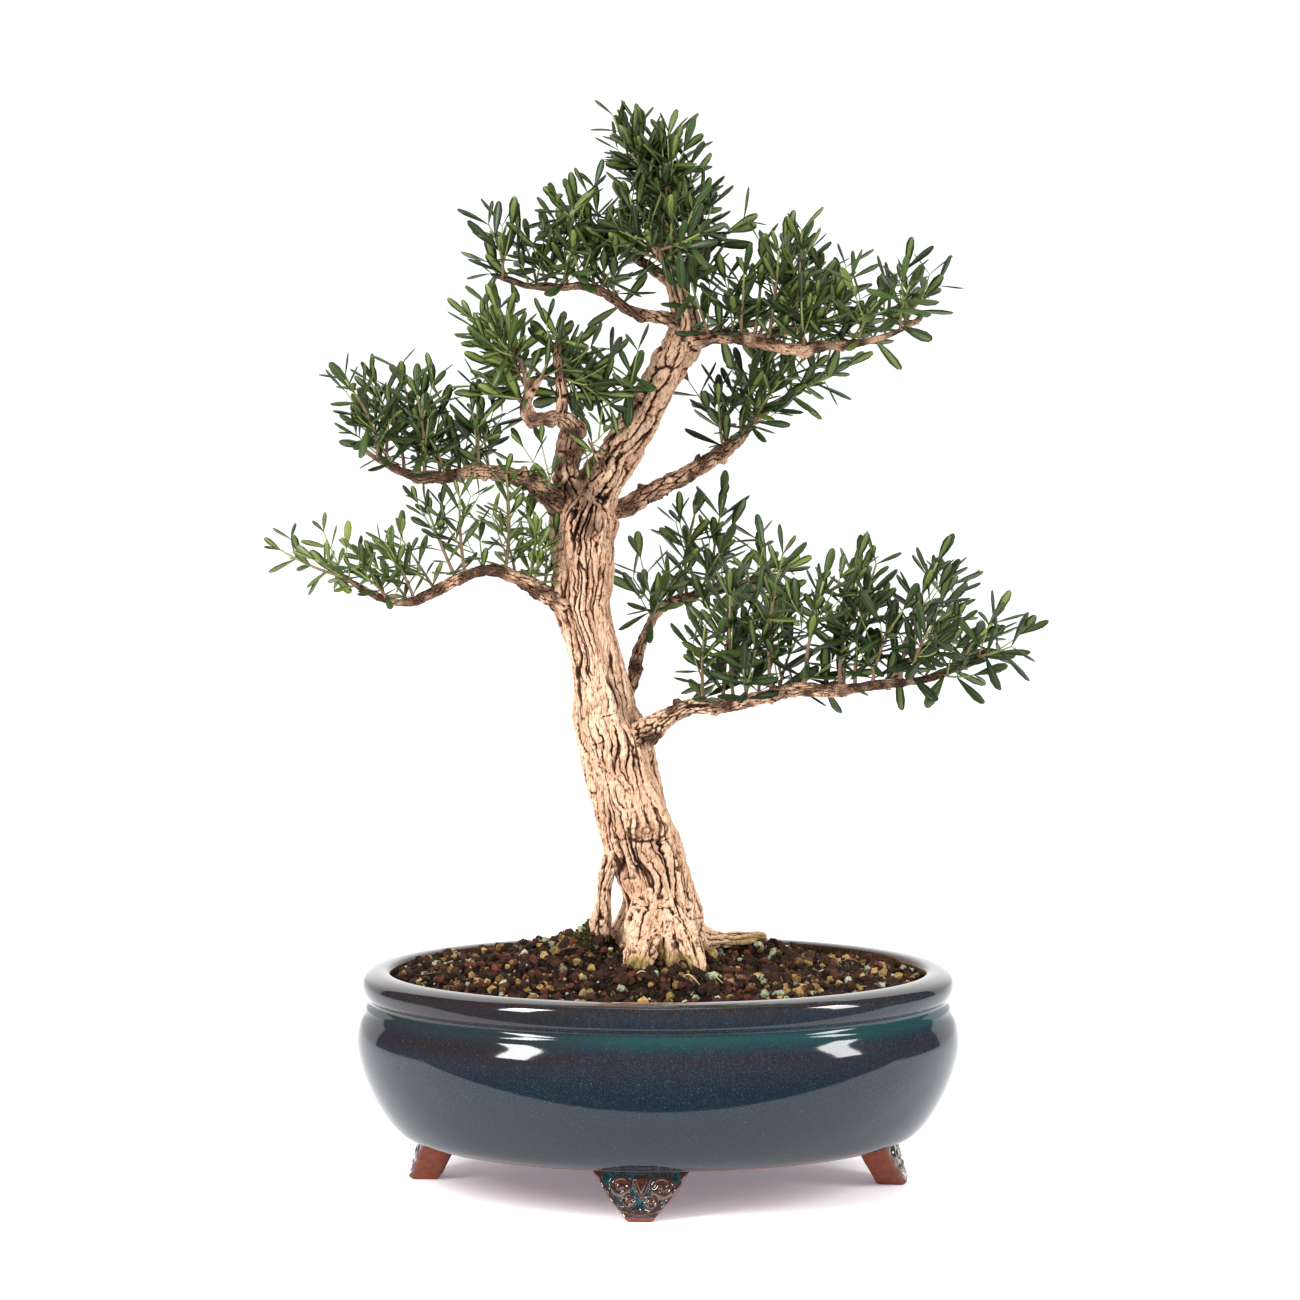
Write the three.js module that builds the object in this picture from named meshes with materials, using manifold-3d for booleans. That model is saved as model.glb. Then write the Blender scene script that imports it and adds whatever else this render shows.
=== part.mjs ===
// A Chinese boxwood bonsai in its glazed oval pot, modelled whole.
// Millimetres, +Z up, with the long axis of the pot along X and its front towards -Y.
// The tree stands in a mound of soil, and each leafy shoot sits on the bark of the limb that bears it.
import * as THREE from 'three';
import { mergeVertices } from 'three/addons/utils/BufferGeometryUtils.js';
import Module from 'manifold-3d';

const wasm = await Module();
wasm.setup();

const GAP = 0.3; // clearance between pieces that touch

// Pot: ovals whose half-depth is a fixed amount less than their half-length
const POT_SIDES = 36;
const OVAL_TRIM = 35;
const OVAL_CORE = 100; // inside this half-length the ovals shrink in proportion
const POT_FLOOR = 36.7;
const POT_UNDERSIDE = 26.7;
const POT_OUTSIDE = [
  [138, POT_UNDERSIDE], [149.4, 30], [157, 38], [163.5, 48], [168.8, 59], [172.8, 70], [175, 81],
  [174.4, 89.5], [172.4, 96], [170, 100.2], [169.4, 103.6], [167.6, 107.4], [170.5, 112], [171.3, 117],
  [169.6, 121.6], [164.8, 124.3], [158.6, 124.6],
];
const POT_INSIDE = [
  [155.2, 122.4], [154.6, 116], [157, 99], [163.4, 82], [159.4, 61], [148.4, 44.5], [134, POT_FLOOR],
];

// Feet: four blocks under the edge of the pot, splayed outwards, turned a little from the axes
const FOOT_TURN = -4;
const FOOT_LEVELS = [ // height, half-width, half-lengths of the ovals at the outer and the inner face
  [0, 7.5, 144, 128], [2.5, 9, 145.5, 127], [14, 20, 142.5, 123], [29, 29.5, 139, 118],
];
const DRAIN = { x: 62, radius: 9, sides: 10 };
const SCREEN = { cells: 3, cell: 7, bar: 3, thick: 0.8 };

// Soil: a mound that is highest at the trunk
const SOIL_EDGE = 118;
const MOUND = { height: 21, x: -26, y: 12, wide: 85, deep: 75 };
const SOIL_RINGS = [0.85, 0.66, 0.46, 0.24];
const SOIL_LUMPS = 1.3;

// Limbs: [x, y, z, radius] along the middle of each
const LIMBS = {
  trunk: [
    [0.5, 0, 112.7, 31], [1, 0, 136, 28.5], [1.6, 0, 153.7, 24], [0.3, 0, 168.4, 21],
    [-4.4, 0, 184.9, 21], [-9.9, 0, 200.8, 21.3], [-14.5, 0, 218.4, 20], [-19.7, 0, 236, 19.8],
    [-24.9, 0, 255.3, 20],
    [-30.7, 0, 271.1, 18.5], [-31.9, 0, 282.8, 17], [-35.4, 0, 303.3, 15], [-40, 0, 320.8, 14.7],
    [-43.5, 0, 338.2, 16.5], [-42.9, 0, 355.7, 17.3], [-43.5, 0, 373.1, 18], [-41.8, 0, 387.6, 19],
    [-37.2, 2, 400.9, 16],
  ],
  leg: [
    [-18.5, -6, 201.8, 6], [-26.6, -8, 188.9, 5], [-30.3, -8, 174.4, 4.4], [-31.3, -8, 160.7, 4.6],
    [-33.4, -6, 146.9, 6.4], [-35.3, -4, 130.7, 8], [-36.5, 0, 115, 7],
  ],
  leader: [
    [-39.4, 0, 393.4, 14], [-31.9, 2, 407.9, 13], [-22.1, 4, 424, 11.5], [-10.5, 6, 442.7, 10.8],
    [1.2, 6, 462.9, 10.4], [12.2, 4, 483, 10.6], [15.1, 2, 497.4, 8.6], [12.2, 0, 511.7, 6.6],
    [7.5, 0, 531.8, 5.2], [5.8, 0, 551.8, 4.4], [3.5, 1, 569.1, 3.6], [1.7, 1, 581.6, 2.6],
  ],
  left_lower: [
    [-48.1, -2, 333.7, 9], [-59, -6, 338.5, 6.5], [-71, -10, 345.7, 5], [-82.3, -14, 352.2, 4.3],
    [-96.5, -18, 355.8, 3.8], [-110.7, -22, 352.5, 3.5], [-124.8, -25, 345.1, 3.3], [-138.9, -28, 338.9, 3],
    [-150.2, -30, 338.4, 2.9], [-164.3, -32, 344.2, 2.7], [-178.3, -34, 352.9, 2.5], [-189.5, -36, 361, 2.4],
  ],
  left_upper: [
    [-46.4, 0, 389.3, 11], [-59, -4, 395.8, 9], [-70.5, -8, 405.1, 6.5], [-84.2, -12, 409.7, 4.8],
    [-103, -16, 412.1, 4.3], [-122.4, -18, 409.2, 4], [-139.3, -22, 410.4, 3.6], [-151.8, -24, 415, 3.2],
    [-163.1, -26, 421.8, 2.7], [-170.3, -28, 426.9, 2.4],
  ],
  left_leader: [
    [-46.3, -6, 393.5, 10], [-51.4, -10, 409.1, 9], [-51.3, -13, 425.2, 8.4], [-49.5, -16, 436.7, 7],
    [-55.1, -20, 442.4, 5.5], [-64.7, -24, 442.4, 4.4], [-73.2, -27, 442.7, 4.2], [-75.5, -29, 449.1, 4],
    [-73.5, -30, 458.2, 3.6], [-76.5, -31, 472.4, 3], [-81, -32, 483.6, 2.5],
  ],
  left_leader_fork: [[-74.1, -30, 454.8, 3], [-64.4, -34, 468.3, 2.4]],
  left_leader_stub: [
    [-55.1, -20, 442.4, 4.2], [-54.4, -26, 456.6, 3.2], [-57.1, -30, 475.2, 2.9], [-56.4, -33, 491, 2.6],
  ],
  upper_left: [
    [11, -2, 499, 5], [-3.5, -8, 501, 3.8], [-16.1, -14, 504.2, 3.6], [-28.7, -18, 512.6, 3],
    [-43, -20, 517.6, 2.6], [-59.1, -22, 516.3, 2.5], [-74.5, -24, 517.4, 2.4], [-90.4, -26, 522.4, 2.4],
  ],
  upper_right: [
    [15.1, 0, 485.8, 8], [25.5, -5, 488, 5.4], [38.7, -9, 489.6, 4.7], [57, -13, 486.5, 4.6],
    [69.6, -15, 483, 4.4], [81.6, -17, 481.8, 4.2], [94.8, -19, 484.1, 3.9], [109, -21, 484.6, 3.5],
    [125.4, -25, 487.9, 2.9], [138.4, -27, 492.9, 2.6], [149.7, -29, 499.6, 2.4],
  ],
  upper_right_back: [
    [57.1, -10, 486.6, 3.4], [68.3, 12, 491.4, 3], [83.7, 32, 495.6, 2.6], [101.2, 50, 501, 2.4],
  ],
  right_middle: [
    [-34.9, 6, 389.2, 9], [-19.3, 14, 392, 6.6], [-4.7, 22, 399.5, 6], [13.5, 30, 408.8, 5.8],
    [34.3, 38, 421.1, 5.4], [46.2, 43, 429.9, 4.6], [55.9, 48, 440.7, 3.6], [69.8, 54, 452.5, 2.9],
    [84.9, 60, 459.8, 2.5],
  ],
  right_middle_stub: [[21.2, 33, 412.3, 3], [24.2, 34, 422.8, 2.6]],
  right_back: [
    [-25.7, 10, 275.7, 7], [-16.4, 20, 286.7, 4.8], [-11.8, 30, 304.9, 3.8], [-7.7, 36, 315.2, 3.6],
    [-3.6, 42, 324.5, 3.4], [3.6, 48, 332.5, 3.3], [14.3, 54, 337, 3.2], [29.3, 60, 340.3, 3],
    [43.2, 66, 342.4, 2.8], [57.2, 72, 348.9, 2.6], [68.7, 76, 353, 2.4],
  ],
  right_lower: [
    [-20.8, -4, 255.7, 11], [-4.6, -11, 263.9, 8.4], [6.9, -16, 271.9, 6], [18.4, -20, 278, 4.8],
    [40.1, -26, 279.6, 4.3], [58.2, -30, 283.9, 4.2], [78.6, -34, 288.8, 4], [99.5, -38, 288.5, 3.8],
    [121.4, -42, 291.7, 3.5], [143.3, -45, 294.1, 3.2], [158.4, -48, 297.7, 2.9], [171.8, -50, 304.8, 2.6],
    [184.5, -52, 312.2, 2.4],
  ],
  right_lower_fork: [[128.8, -42, 292.2, 3], [141, -30, 302.9, 2.6], [156.5, -16, 312.9, 2.4]],
  crown_left: [[8.1, 0, 519.7, 4.2], [-7.5, -4, 531, 3.2], [-28, -8, 542.3, 2.7], [-50, -12, 550.2, 2.4]],
  crown_right: [[10.5, 2, 516.3, 4.2], [24.4, 2, 533.6, 3], [37.1, 0, 547.3, 2.5]],
  crown_front: [[9.5, -2, 519.7, 4], [4.4, -24, 530.4, 3], [-3.1, -44, 538.5, 2.5]],
  crown_back: [[9.3, 2, 523.3, 4.2], [5.9, 28, 543.2, 3], [1.2, 50, 557.5, 2.6]],
  root_right: [
    [11.6, 6, 146.9, 12], [27.5, 14, 140.4, 6.5], [37.5, 22, 137.4, 4.6], [51.2, 30, 138, 3.8],
    [62.7, 38, 138, 4.4],
  ],
  root_front: [[-5.8, -16, 155.9, 12], [-10.3, -32, 139.2, 9], [-13.6, -42, 124, 6]],
  root_front_right: [[8.1, -12, 155.4, 13], [17, -26, 137.1, 9], [24, -36, 122.8, 6]],
  leader_spur: [[-6, 2, 452.8, 4], [-14, -6, 458.1, 3], [-22, -12, 465.6, 2.4]],
  root_back: [[-1.8, 16, 151.5, 13], [-1.2, 36, 133, 9], [1.2, 50, 118, 6]],
};
const STOUT_LIMBS = { trunk: [18, 20], leader: [11, 11], leg: [6, 5] }; // sides and steps
const THIN_SIDES = 5;
const STEPS_PER_POINT = 0.55; // rings of a thin limb for each of its points
const BARK_RIDGES = { count: 6, depth: 0.075, twist: 2.2 };
const THIN_UNEVENNESS = 0.12;
const KNOT = { at: [-6.4, -19, 206.6], size: [10, 5, 7] };

// Pads of shoots: a count along part of a limb, how high they rise above it from its start to its end,
// how far they fan out sideways, how far the first and the last lean, and which way if not along the limb.
const PADS = {
  upper_right: { from: 0.12, to: 0.98, count: 6, rise: [51, 71, 71, 43, 32, 30], side: 30, lean: [0, 26] },
  upper_right_back: { from: 0.5, to: 1, count: 2, rise: [43, 28], side: 16, lean: [0, 10] },
  right_middle: { from: 0.56, to: 1, count: 3, rise: [51, 41, 28, 19], side: 30, lean: [-10, 24] },
  right_back: { from: 0.4, to: 1, count: 4, rise: [47, 55, 47, 32], side: 26, lean: [-8, 26] },
  right_lower: { from: 0.25, to: 0.98, count: 8, rise: [47, 66, 83, 75, 66, 34], side: 36, lean: [2, 30] },
  right_lower_fork: { from: 1, to: 1, count: 1, rise: [36], side: 4, lean: [16, 16] },
  left_lower: { from: 0.18, to: 0.95, count: 5, rise: [55, 56, 39, 19], side: 24, lean: [4, 30] },
  left_upper: { from: 0.4, to: 0.93, count: 6, rise: [41, 70, 53, 58], side: 30, lean: [0, 14] },
  left_leader: { from: 0.66, to: 1, count: 2, rise: [38, 26], side: 22, lean: [16, 26], toward: [-1, 0.2] },
  left_leader_fork: { from: 1, to: 1, count: 1, rise: [19], side: 8, lean: [8, 8], toward: [1, -0.4] },
  left_leader_stub: {
    from: 0.12, to: 0.95, count: 2, rise: [20, 12], side: 22, lean: [24, 20], toward: [0.6, 1],
  },
  leader_spur: { from: 1, to: 1, count: 1, rise: [10], side: 6, lean: [30, 30], toward: [-0.3, -1] },
  upper_left: { from: 0.3, to: 1, count: 3, rise: [28, 39, 49], side: 20, lean: [0, 4] },
  crown_left: { from: 0.3, to: 1, count: 3, rise: [62, 39, 19], side: 20, lean: [-2, 12] },
  crown_right: { from: 1, to: 1, count: 1, rise: [30], side: 16, lean: [0, 0] },
  crown_front: { from: 0.25, to: 1, count: 2, rise: [26, 16], side: 38, lean: [0, 4] },
  crown_back: { from: 0.5, to: 1, count: 2, rise: [45, 38], side: 26, lean: [0, 6] },
  leader: { from: 0.8, to: 1, count: 3, rise: [44, 48, 40], side: 10, lean: [14, -20], toward: [1, 0.2] },
};

// Shoots and leaves. A joint is the short length of stem that a pair of leaves or a twig grows from.
const STEM = { base: 1.7, tip: 1.1, twig: 1, joint: 1.4 };
const LEAF = { length: [18, 23], width: 6, thick: 0.65, arch: 0.05, sway: 8 };
const LEAF_RINGS = [[0.62, 1], [0.98, 0.5]]; // run along the leaf, share of its width
const TIP_ANGLE = 30; // of a leaf to its stem in the last pair, and in the pairs below
const SIDE_ANGLE = 50;
const TWIG = { at: 0.5, angle: 48, length: 0.36, pair: 0.96 };
const SHOOT = { offLimb: 0.7, bend: 0.45 }; // how far it first leaves the limb's way, and where it bends
const PAIRS_AT = [0.34, 0.66, 0.985]; // shares of the stem
const TRIES = 60; // at most, to place a shoot clear of the others; its tip strays a little more at each
const STRAY = { first: 4, growth: 0.3 };

const radians = THREE.MathUtils.degToRad;
const material = (color, roughness) => new THREE.MeshStandardMaterial({ color, roughness, metalness: 0 });
const GLAZE = material(0x22323f, 0.12);
const EARTH = material(0x2c1f17, 0.95);
const BARK = material(0xbf9c78, 0.8);
const MESH_PLASTIC = material(0x1c1c1c, 0.6);
const FOLIAGE = [material(0x2f5a2a, 0.4), material(0x3f7030, 0.4), material(0x274a2b, 0.4)];

// A repeatable random number from 0 to 1
function seededRandom(seed) {
  let state = seed;
  return () => {
    state = (state + 0x6d2b79f5) | 0;
    let mix = Math.imul(state ^ (state >>> 15), 1 | state);
    mix = (mix + Math.imul(mix ^ (mix >>> 7), 61 | mix)) ^ mix;
    return ((mix ^ (mix >>> 14)) >>> 0) / 4294967296;
  };
}

// A three.js geometry as a solid, and back
function toSolid(geometry) {
  const bare = geometry.clone();
  bare.deleteAttribute('normal');
  bare.deleteAttribute('uv');
  const merged = mergeVertices(bare, 1e-4);
  const vertProperties = Float32Array.from(merged.attributes.position.array);
  const triVerts = Uint32Array.from(merged.index.array);
  return new wasm.Manifold(new wasm.Mesh({ numProp: 3, vertProperties, triVerts }));
}

function toGeometry(solid) {
  const mesh = solid.getMesh();
  const points = new Float32Array((mesh.vertProperties.length / mesh.numProp) * 3);
  for (let i = 0; i < points.length; i += 1) {
    points[i] = mesh.vertProperties[Math.floor(i / 3) * mesh.numProp + (i % 3)];
  }
  const geometry = new THREE.BufferGeometry();
  geometry.setAttribute('position', new THREE.BufferAttribute(points, 3));
  geometry.setIndex(Array.from(mesh.triVerts));
  geometry.computeVertexNormals();
  return geometry;
}

// A closed skin over rings of points that run anticlockwise about the way the rings advance
function loft(rings) {
  const sides = rings[0].length;
  const points = rings.flat();
  const faces = [];
  for (let i = 0; i < rings.length - 1; i += 1) {
    for (let j = 0; j < sides; j += 1) {
      const a = i * sides + j;
      const b = i * sides + ((j + 1) % sides);
      faces.push(a, b, b + sides, a, b + sides, a + sides);
    }
  }
  const closeEnd = (first, flip) => {
    if (sides < 6) {
      for (let j = 1; j < sides - 1; j += 1) {
        const [a, b] = [first + j, first + j + 1];
        faces.push(first, flip ? b : a, flip ? a : b);
      }
      return;
    }
    const ring = points.slice(first, first + sides);
    const mean = ring.reduce((sum, p) => sum.add(p), new THREE.Vector3()).divideScalar(sides);
    const middle = points.push(mean) - 1;
    for (let j = 0; j < sides; j += 1) {
      const a = first + j;
      const b = first + ((j + 1) % sides);
      faces.push(middle, flip ? b : a, flip ? a : b);
    }
  };
  closeEnd(0, true);
  closeEnd((rings.length - 1) * sides, false);
  const geometry = new THREE.BufferGeometry().setFromPoints(points);
  geometry.setIndex(faces);
  return geometry;
}

// Pot
function ovalPoint(halfLength, angle, z) {
  const halfDepth = halfLength - OVAL_TRIM * Math.min(1, halfLength / OVAL_CORE);
  return new THREE.Vector3(halfLength * Math.cos(angle), halfDepth * Math.sin(angle), z);
}

function ovalRing(halfLength, z) {
  return Array.from({ length: POT_SIDES }, (_, i) => ovalPoint(halfLength, (i / POT_SIDES) * 2 * Math.PI, z));
}

function footGeometry(turn) {
  const middle = radians(turn);
  const rings = FOOT_LEVELS.map(([z, halfWidth, outer, inner]) => {
    const speed = ovalPoint(outer, middle + Math.PI / 2, 0).length();
    const edge = halfWidth / speed;
    const outside = [-1, 0, 1].map((s) => ovalPoint(outer, middle + s * edge, z));
    const inside = [1, 0, -1].map((s) => ovalPoint(inner, middle + s * edge, z));
    return [...outside, ...inside];
  });
  return loft(rings);
}

function makePot() {
  let pot = toSolid(loft([...POT_OUTSIDE, ...POT_INSIDE].map(([a, z]) => ovalRing(a, z))));
  for (const turn of [0, 90, 180, 270]) pot = pot.add(toSolid(footGeometry(turn + FOOT_TURN)));
  for (const x of [-DRAIN.x, DRAIN.x]) {
    const drain = new THREE.CylinderGeometry(DRAIN.radius, DRAIN.radius, POT_FLOOR, DRAIN.sides);
    drain.rotateX(Math.PI / 2).translate(x, 0, POT_FLOOR);
    pot = pot.subtract(toSolid(drain));
  }
  return toGeometry(pot);
}

// A square of plastic mesh, or the plain plate that clears it on every side
function screenSolid(grow = 0) {
  const { cells, cell, bar, thick } = SCREEN;
  const side = cells * (cell + bar) + bar;
  const plate = new THREE.BoxGeometry(side + 2 * grow, side + 2 * grow, thick + 2 * grow);
  let screen = toSolid(plate.translate(0, 0, thick / 2));
  for (let i = 0; i < cells * cells && grow === 0; i += 1) {
    const x = ((i % cells) - (cells - 1) / 2) * (cell + bar);
    const y = (Math.floor(i / cells) - (cells - 1) / 2) * (cell + bar);
    screen = screen.subtract(toSolid(new THREE.BoxGeometry(cell, cell, 4 * thick).translate(x, y, 0)));
  }
  return screen;
}

// Soil
function makeSoil(buried) {
  const random = seededRandom(11);
  const height = (p) => {
    const reach = ((p.x - MOUND.x) / MOUND.wide) ** 2 + ((p.y - MOUND.y) / MOUND.deep) ** 2;
    return SOIL_EDGE + MOUND.height * Math.exp(-reach) + SOIL_LUMPS * (2 * random() - 1);
  };
  const inside = POT_INSIDE.filter(([, z]) => z < SOIL_EDGE).reverse();
  const walls = inside.map(([a, z]) => ovalRing(a - GAP, Math.max(z, POT_FLOOR + GAP)));
  const rimWide = POT_INSIDE[1][0] - GAP;
  const top = [1, ...SOIL_RINGS].map((share) => ovalRing(rimWide * share, 0).map((p) => p.setZ(height(p))));
  let soil = toSolid(loft([...walls, ...top]));
  for (const x of [-DRAIN.x, DRAIN.x]) {
    soil = soil.subtract(screenSolid(GAP).translate([x, 0, POT_FLOOR + GAP]));
  }
  for (const piece of buried) soil = soil.subtract(piece);
  return toGeometry(soil);
}

// Limbs
class Limb {
  constructor(name) {
    this.path = LIMBS[name];
    const middle = this.path.map(([x, y, z]) => new THREE.Vector3(x, y, z));
    this.curve = middle.length > 2 ? new THREE.CatmullRomCurve3(middle) : new THREE.LineCurve3(...middle);
    const thin = [THIN_SIDES, Math.round(this.path.length * STEPS_PER_POINT) + 1];
    [this.sides, this.steps] = STOUT_LIMBS[name] ?? thin;
    this.seed = name.length * 97 + this.path.length;
  }

  radius(u) {
    const t = this.curve.getUtoTmapping ? this.curve.getUtoTmapping(u) : u;
    const step = t * (this.path.length - 1);
    const low = Math.min(Math.floor(step), this.path.length - 2);
    return THREE.MathUtils.lerp(this.path[low][3], this.path[low + 1][3], step - low);
  }

  // The bark stands out in ridges that wind slowly up a stout limb; a thin one is only uneven.
  relief(u, angle, random) {
    const { count, depth, twist } = BARK_RIDGES;
    if (this.sides <= THIN_SIDES) return THIN_UNEVENNESS * (random() - 0.5);
    const turn = angle + twist * u;
    return depth * (Math.cos(count * turn) + 0.6 * Math.cos((count - 3) * turn + 9 * u));
  }

  solid(swell = 0) {
    const frames = this.curve.computeFrenetFrames(this.steps, false);
    const random = seededRandom(this.seed);
    const rings = [];
    for (let i = 0; i <= this.steps; i += 1) {
      const u = i / this.steps;
      const end = i === 0 ? -swell : i === this.steps ? swell : 0;
      const middle = this.curve.getPointAt(u).addScaledVector(frames.tangents[i], end);
      rings.push(Array.from({ length: this.sides }, (_, j) => {
        const angle = (j / this.sides) * 2 * Math.PI;
        const reach = this.radius(u) * (1 + this.relief(u, angle, random)) + swell;
        return middle.clone()
          .addScaledVector(frames.normals[i], reach * Math.cos(angle))
          .addScaledVector(frames.binormals[i], reach * Math.sin(angle));
      }));
    }
    return toSolid(loft(rings));
  }
}

const BURIED = ['trunk', 'leg', 'root_right', 'root_front', 'root_front_right', 'root_back'];
const SOIL_SLACK = 0.15; // what the soil keeps off the bark beyond the gap
const buriedSolid = (name) => new Limb(name).solid(GAP + SOIL_SLACK);

function makeWood() {
  const knot = new THREE.IcosahedronGeometry(1, 0).scale(...KNOT.size).translate(...KNOT.at);
  return Object.keys(LIMBS).reduce((wood, name) => wood.add(new Limb(name).solid()), toSolid(knot));
}

// Shoots: each is one skin of four-sided rings. A leaf or a twig is drawn out of a side between two rings.
class Skin {
  points = [];

  faces = [];

  ring(middle, across, normal, width, thick) {
    const corners = [[-0.5, -0.5], [0.5, -0.5], [0.5, 0.5], [-0.5, 0.5]];
    return corners.map(([s, t]) => this.points.push(middle.clone()
      .addScaledVector(across, s * width)
      .addScaledVector(normal, t * thick)) - 1);
  }

  quad(a, b, c, d) {
    this.faces.push(a, b, c, a, c, d);
  }

  walls(lower, upper, open = []) {
    for (let k = 0; k < 4; k += 1) {
      if (!open.includes(k)) this.quad(...Skin.mouth(lower, upper, k));
    }
  }

  // The corners of one side between two rings, which the skin leaves open for what grows there
  static mouth(lower, upper, k) {
    const next = (k + 1) % 4;
    return [lower[k], lower[next], upper[next], upper[k]];
  }

  solid() {
    const geometry = new THREE.BufferGeometry().setFromPoints(this.points);
    return toSolid(geometry.setIndex(this.faces));
  }
}

// Directions for what grows out of side k of a stem at an angle to it
function branchFrame({ along, across, normal }, k, angle) {
  const out = [normal.clone().negate(), across, normal, across.clone().negate()][k];
  const [cos, sin] = [Math.cos(radians(angle)), Math.sin(radians(angle))];
  return {
    along: along.clone().multiplyScalar(cos).addScaledVector(out, sin),
    across: along.clone().cross(out),
    normal: along.clone().multiplyScalar(sin).addScaledVector(out, -cos),
  };
}

function growLeaf(skin, mouth, root, { along, across, normal }, random) {
  const length = THREE.MathUtils.lerp(...LEAF.length, random());
  let last = mouth;
  for (const [run, share] of LEAF_RINGS) {
    const middle = root.clone()
      .addScaledVector(along, run * length)
      .addScaledVector(normal, -LEAF.arch * run * run * length);
    const ring = skin.ring(middle, across, normal, LEAF.width * share, LEAF.thick);
    skin.walls(last, ring);
    last = ring;
  }
  skin.quad(...last);
}

// A stem along a curve, on from a ring or a mouth. Its joints are listed in order,
// each with its share of the curve, the sides that things grow from and what grows there.
function growStem(skin, from, curve, side, width, joints) {
  let last = from;
  for (const { at, sides, grow } of joints) {
    const along = curve.getTangentAt(at);
    const across = side.clone().addScaledVector(along, -side.dot(along)).normalize();
    const frame = { along, across, normal: along.clone().cross(across) };
    const middle = curve.getPointAt(at);
    const size = width(at);
    const [lower, upper] = [-STEM.joint / 2, STEM.joint / 2].map((shift) => {
      const centre = middle.clone().addScaledVector(along, shift);
      return skin.ring(centre, across, frame.normal, size, size);
    });
    skin.walls(last, lower);
    skin.walls(lower, upper, sides);
    for (const k of sides) grow(Skin.mouth(lower, upper, k), middle, frame, k);
    last = upper;
  }
  skin.quad(...last);
}

// A leafy shoot with one twig, from the middle of a limb to the tip.
// Its foot is cut to the bark, a gap clear of it.
function makeShoot(limb, clearance, u, tip, random) {
  const middle = limb.curve.getPointAt(u);
  const limbWay = limb.curve.getTangentAt(u);
  const toTip = tip.clone().sub(middle);
  const length = toTip.length();
  const offLimb = toTip.clone().addScaledVector(limbWay, -SHOOT.offLimb * toTip.dot(limbWay)).normalize();
  const out = u === 1 ? limbWay.clone() : offLimb;
  const bend = middle.clone().addScaledVector(out, SHOOT.bend * length);
  const curve = new THREE.QuadraticBezierCurve3(middle, bend, tip);
  const side = new THREE.Vector3(random() - 0.5, random() - 0.5, random() - 0.5).cross(out).normalize();

  const skin = new Skin();
  const leaf = (angle) => (mouth, root, frame, k) => {
    growLeaf(skin, mouth, root, branchFrame(frame, k, angle + LEAF.sway * (random() - 0.5)), random);
  };
  const twig = (mouth, root, frame, k) => {
    const { along, across } = branchFrame(frame, k, TWIG.angle);
    const line = new THREE.LineCurve3(root, root.clone().addScaledVector(along, TWIG.length * length));
    const lastPair = { at: TWIG.pair, sides: [1, 3], grow: leaf(TIP_ANGLE) };
    growStem(skin, mouth, line, across, () => STEM.twig, [lastPair]);
  };
  const turn = random() < 0.5 ? 0 : 2;
  const joints = [
    { at: PAIRS_AT[0], sides: [0, 2], grow: leaf(SIDE_ANGLE) },
    { at: TWIG.at, sides: [turn], grow: twig },
    { at: PAIRS_AT[1], sides: [1, 3], grow: leaf(SIDE_ANGLE) },
    { at: PAIRS_AT[2], sides: [0, 2], grow: leaf(TIP_ANGLE) },
  ];
  const foot = skin.ring(middle, side, out.clone().cross(side), STEM.base, STEM.base);
  skin.quad(...foot.toReversed());
  growStem(skin, foot, curve, side, (at) => THREE.MathUtils.lerp(STEM.base, STEM.tip, at), joints);
  return skin.solid().subtract(clearance);
}

// The height of a pad at a share of its length, from its listed heights
function riseAt(rise, share) {
  const step = share * (rise.length - 1);
  const low = Math.min(Math.floor(step), Math.max(rise.length - 2, 0));
  return THREE.MathUtils.lerp(rise[low], rise[low + 1] ?? rise[low], step - low);
}

const crosses = (one, other) => !one.intersect(other).isEmpty();

function makeShoots(wood) {
  const shoots = [];
  for (const [name, pad] of Object.entries(PADS)) {
    const limb = new Limb(name);
    const clearance = limb.solid(GAP);
    for (let i = 0; i < pad.count; i += 1) {
      const share = pad.count > 1 ? i / (pad.count - 1) : 1;
      const u = THREE.MathUtils.lerp(pad.from, pad.to, share);
      const random = seededRandom(1000 * name.length + 31 * i + name.charCodeAt(name.length - 1));
      const base = limb.curve.getPointAt(u);
      const way = limb.curve.getTangentAt(u);
      const flat = new THREE.Vector3(...(pad.toward ?? [way.x, way.y]), 0).normalize();
      const sideways = new THREE.Vector3(-flat.y, flat.x, 0);
      const fan = ((i * 0.618 + 0.2) % 1) * 2 - 1;
      let shoot = null;
      for (let tries = 0; tries < TRIES && !shoot; tries += 1) {
        const stray = () => (STRAY.first + STRAY.growth * tries) * (2 * random() - 1);
        const tip = base.clone()
          .addScaledVector(sideways, fan * pad.side + stray())
          .addScaledVector(flat, THREE.MathUtils.lerp(...pad.lean, share) + stray());
        tip.z += riseAt(pad.rise, share) * (1 - 0.25 * Math.abs(fan)) + stray();
        const trial = makeShoot(limb, clearance, u, tip, random);
        const clear = !crosses(trial, wood) && !shoots.some((other) => crosses(trial, other.solid));
        if (clear) shoot = { name: `shoot_${name}_${i + 1}`, solid: trial };
      }
      if (!shoot) throw new Error(`no room for shoot ${i + 1} on ${name}`);
      shoots.push(shoot);
    }
  }
  return shoots;
}

// Assembly
function addMesh(parent, name, geometry, look) {
  const mesh = new THREE.Mesh(geometry, look);
  mesh.name = name;
  parent.add(mesh);
  return mesh;
}

const bonsai = new THREE.Group();
const planter = new THREE.Group();
const tree = new THREE.Group();
bonsai.add(planter, tree);

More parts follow.
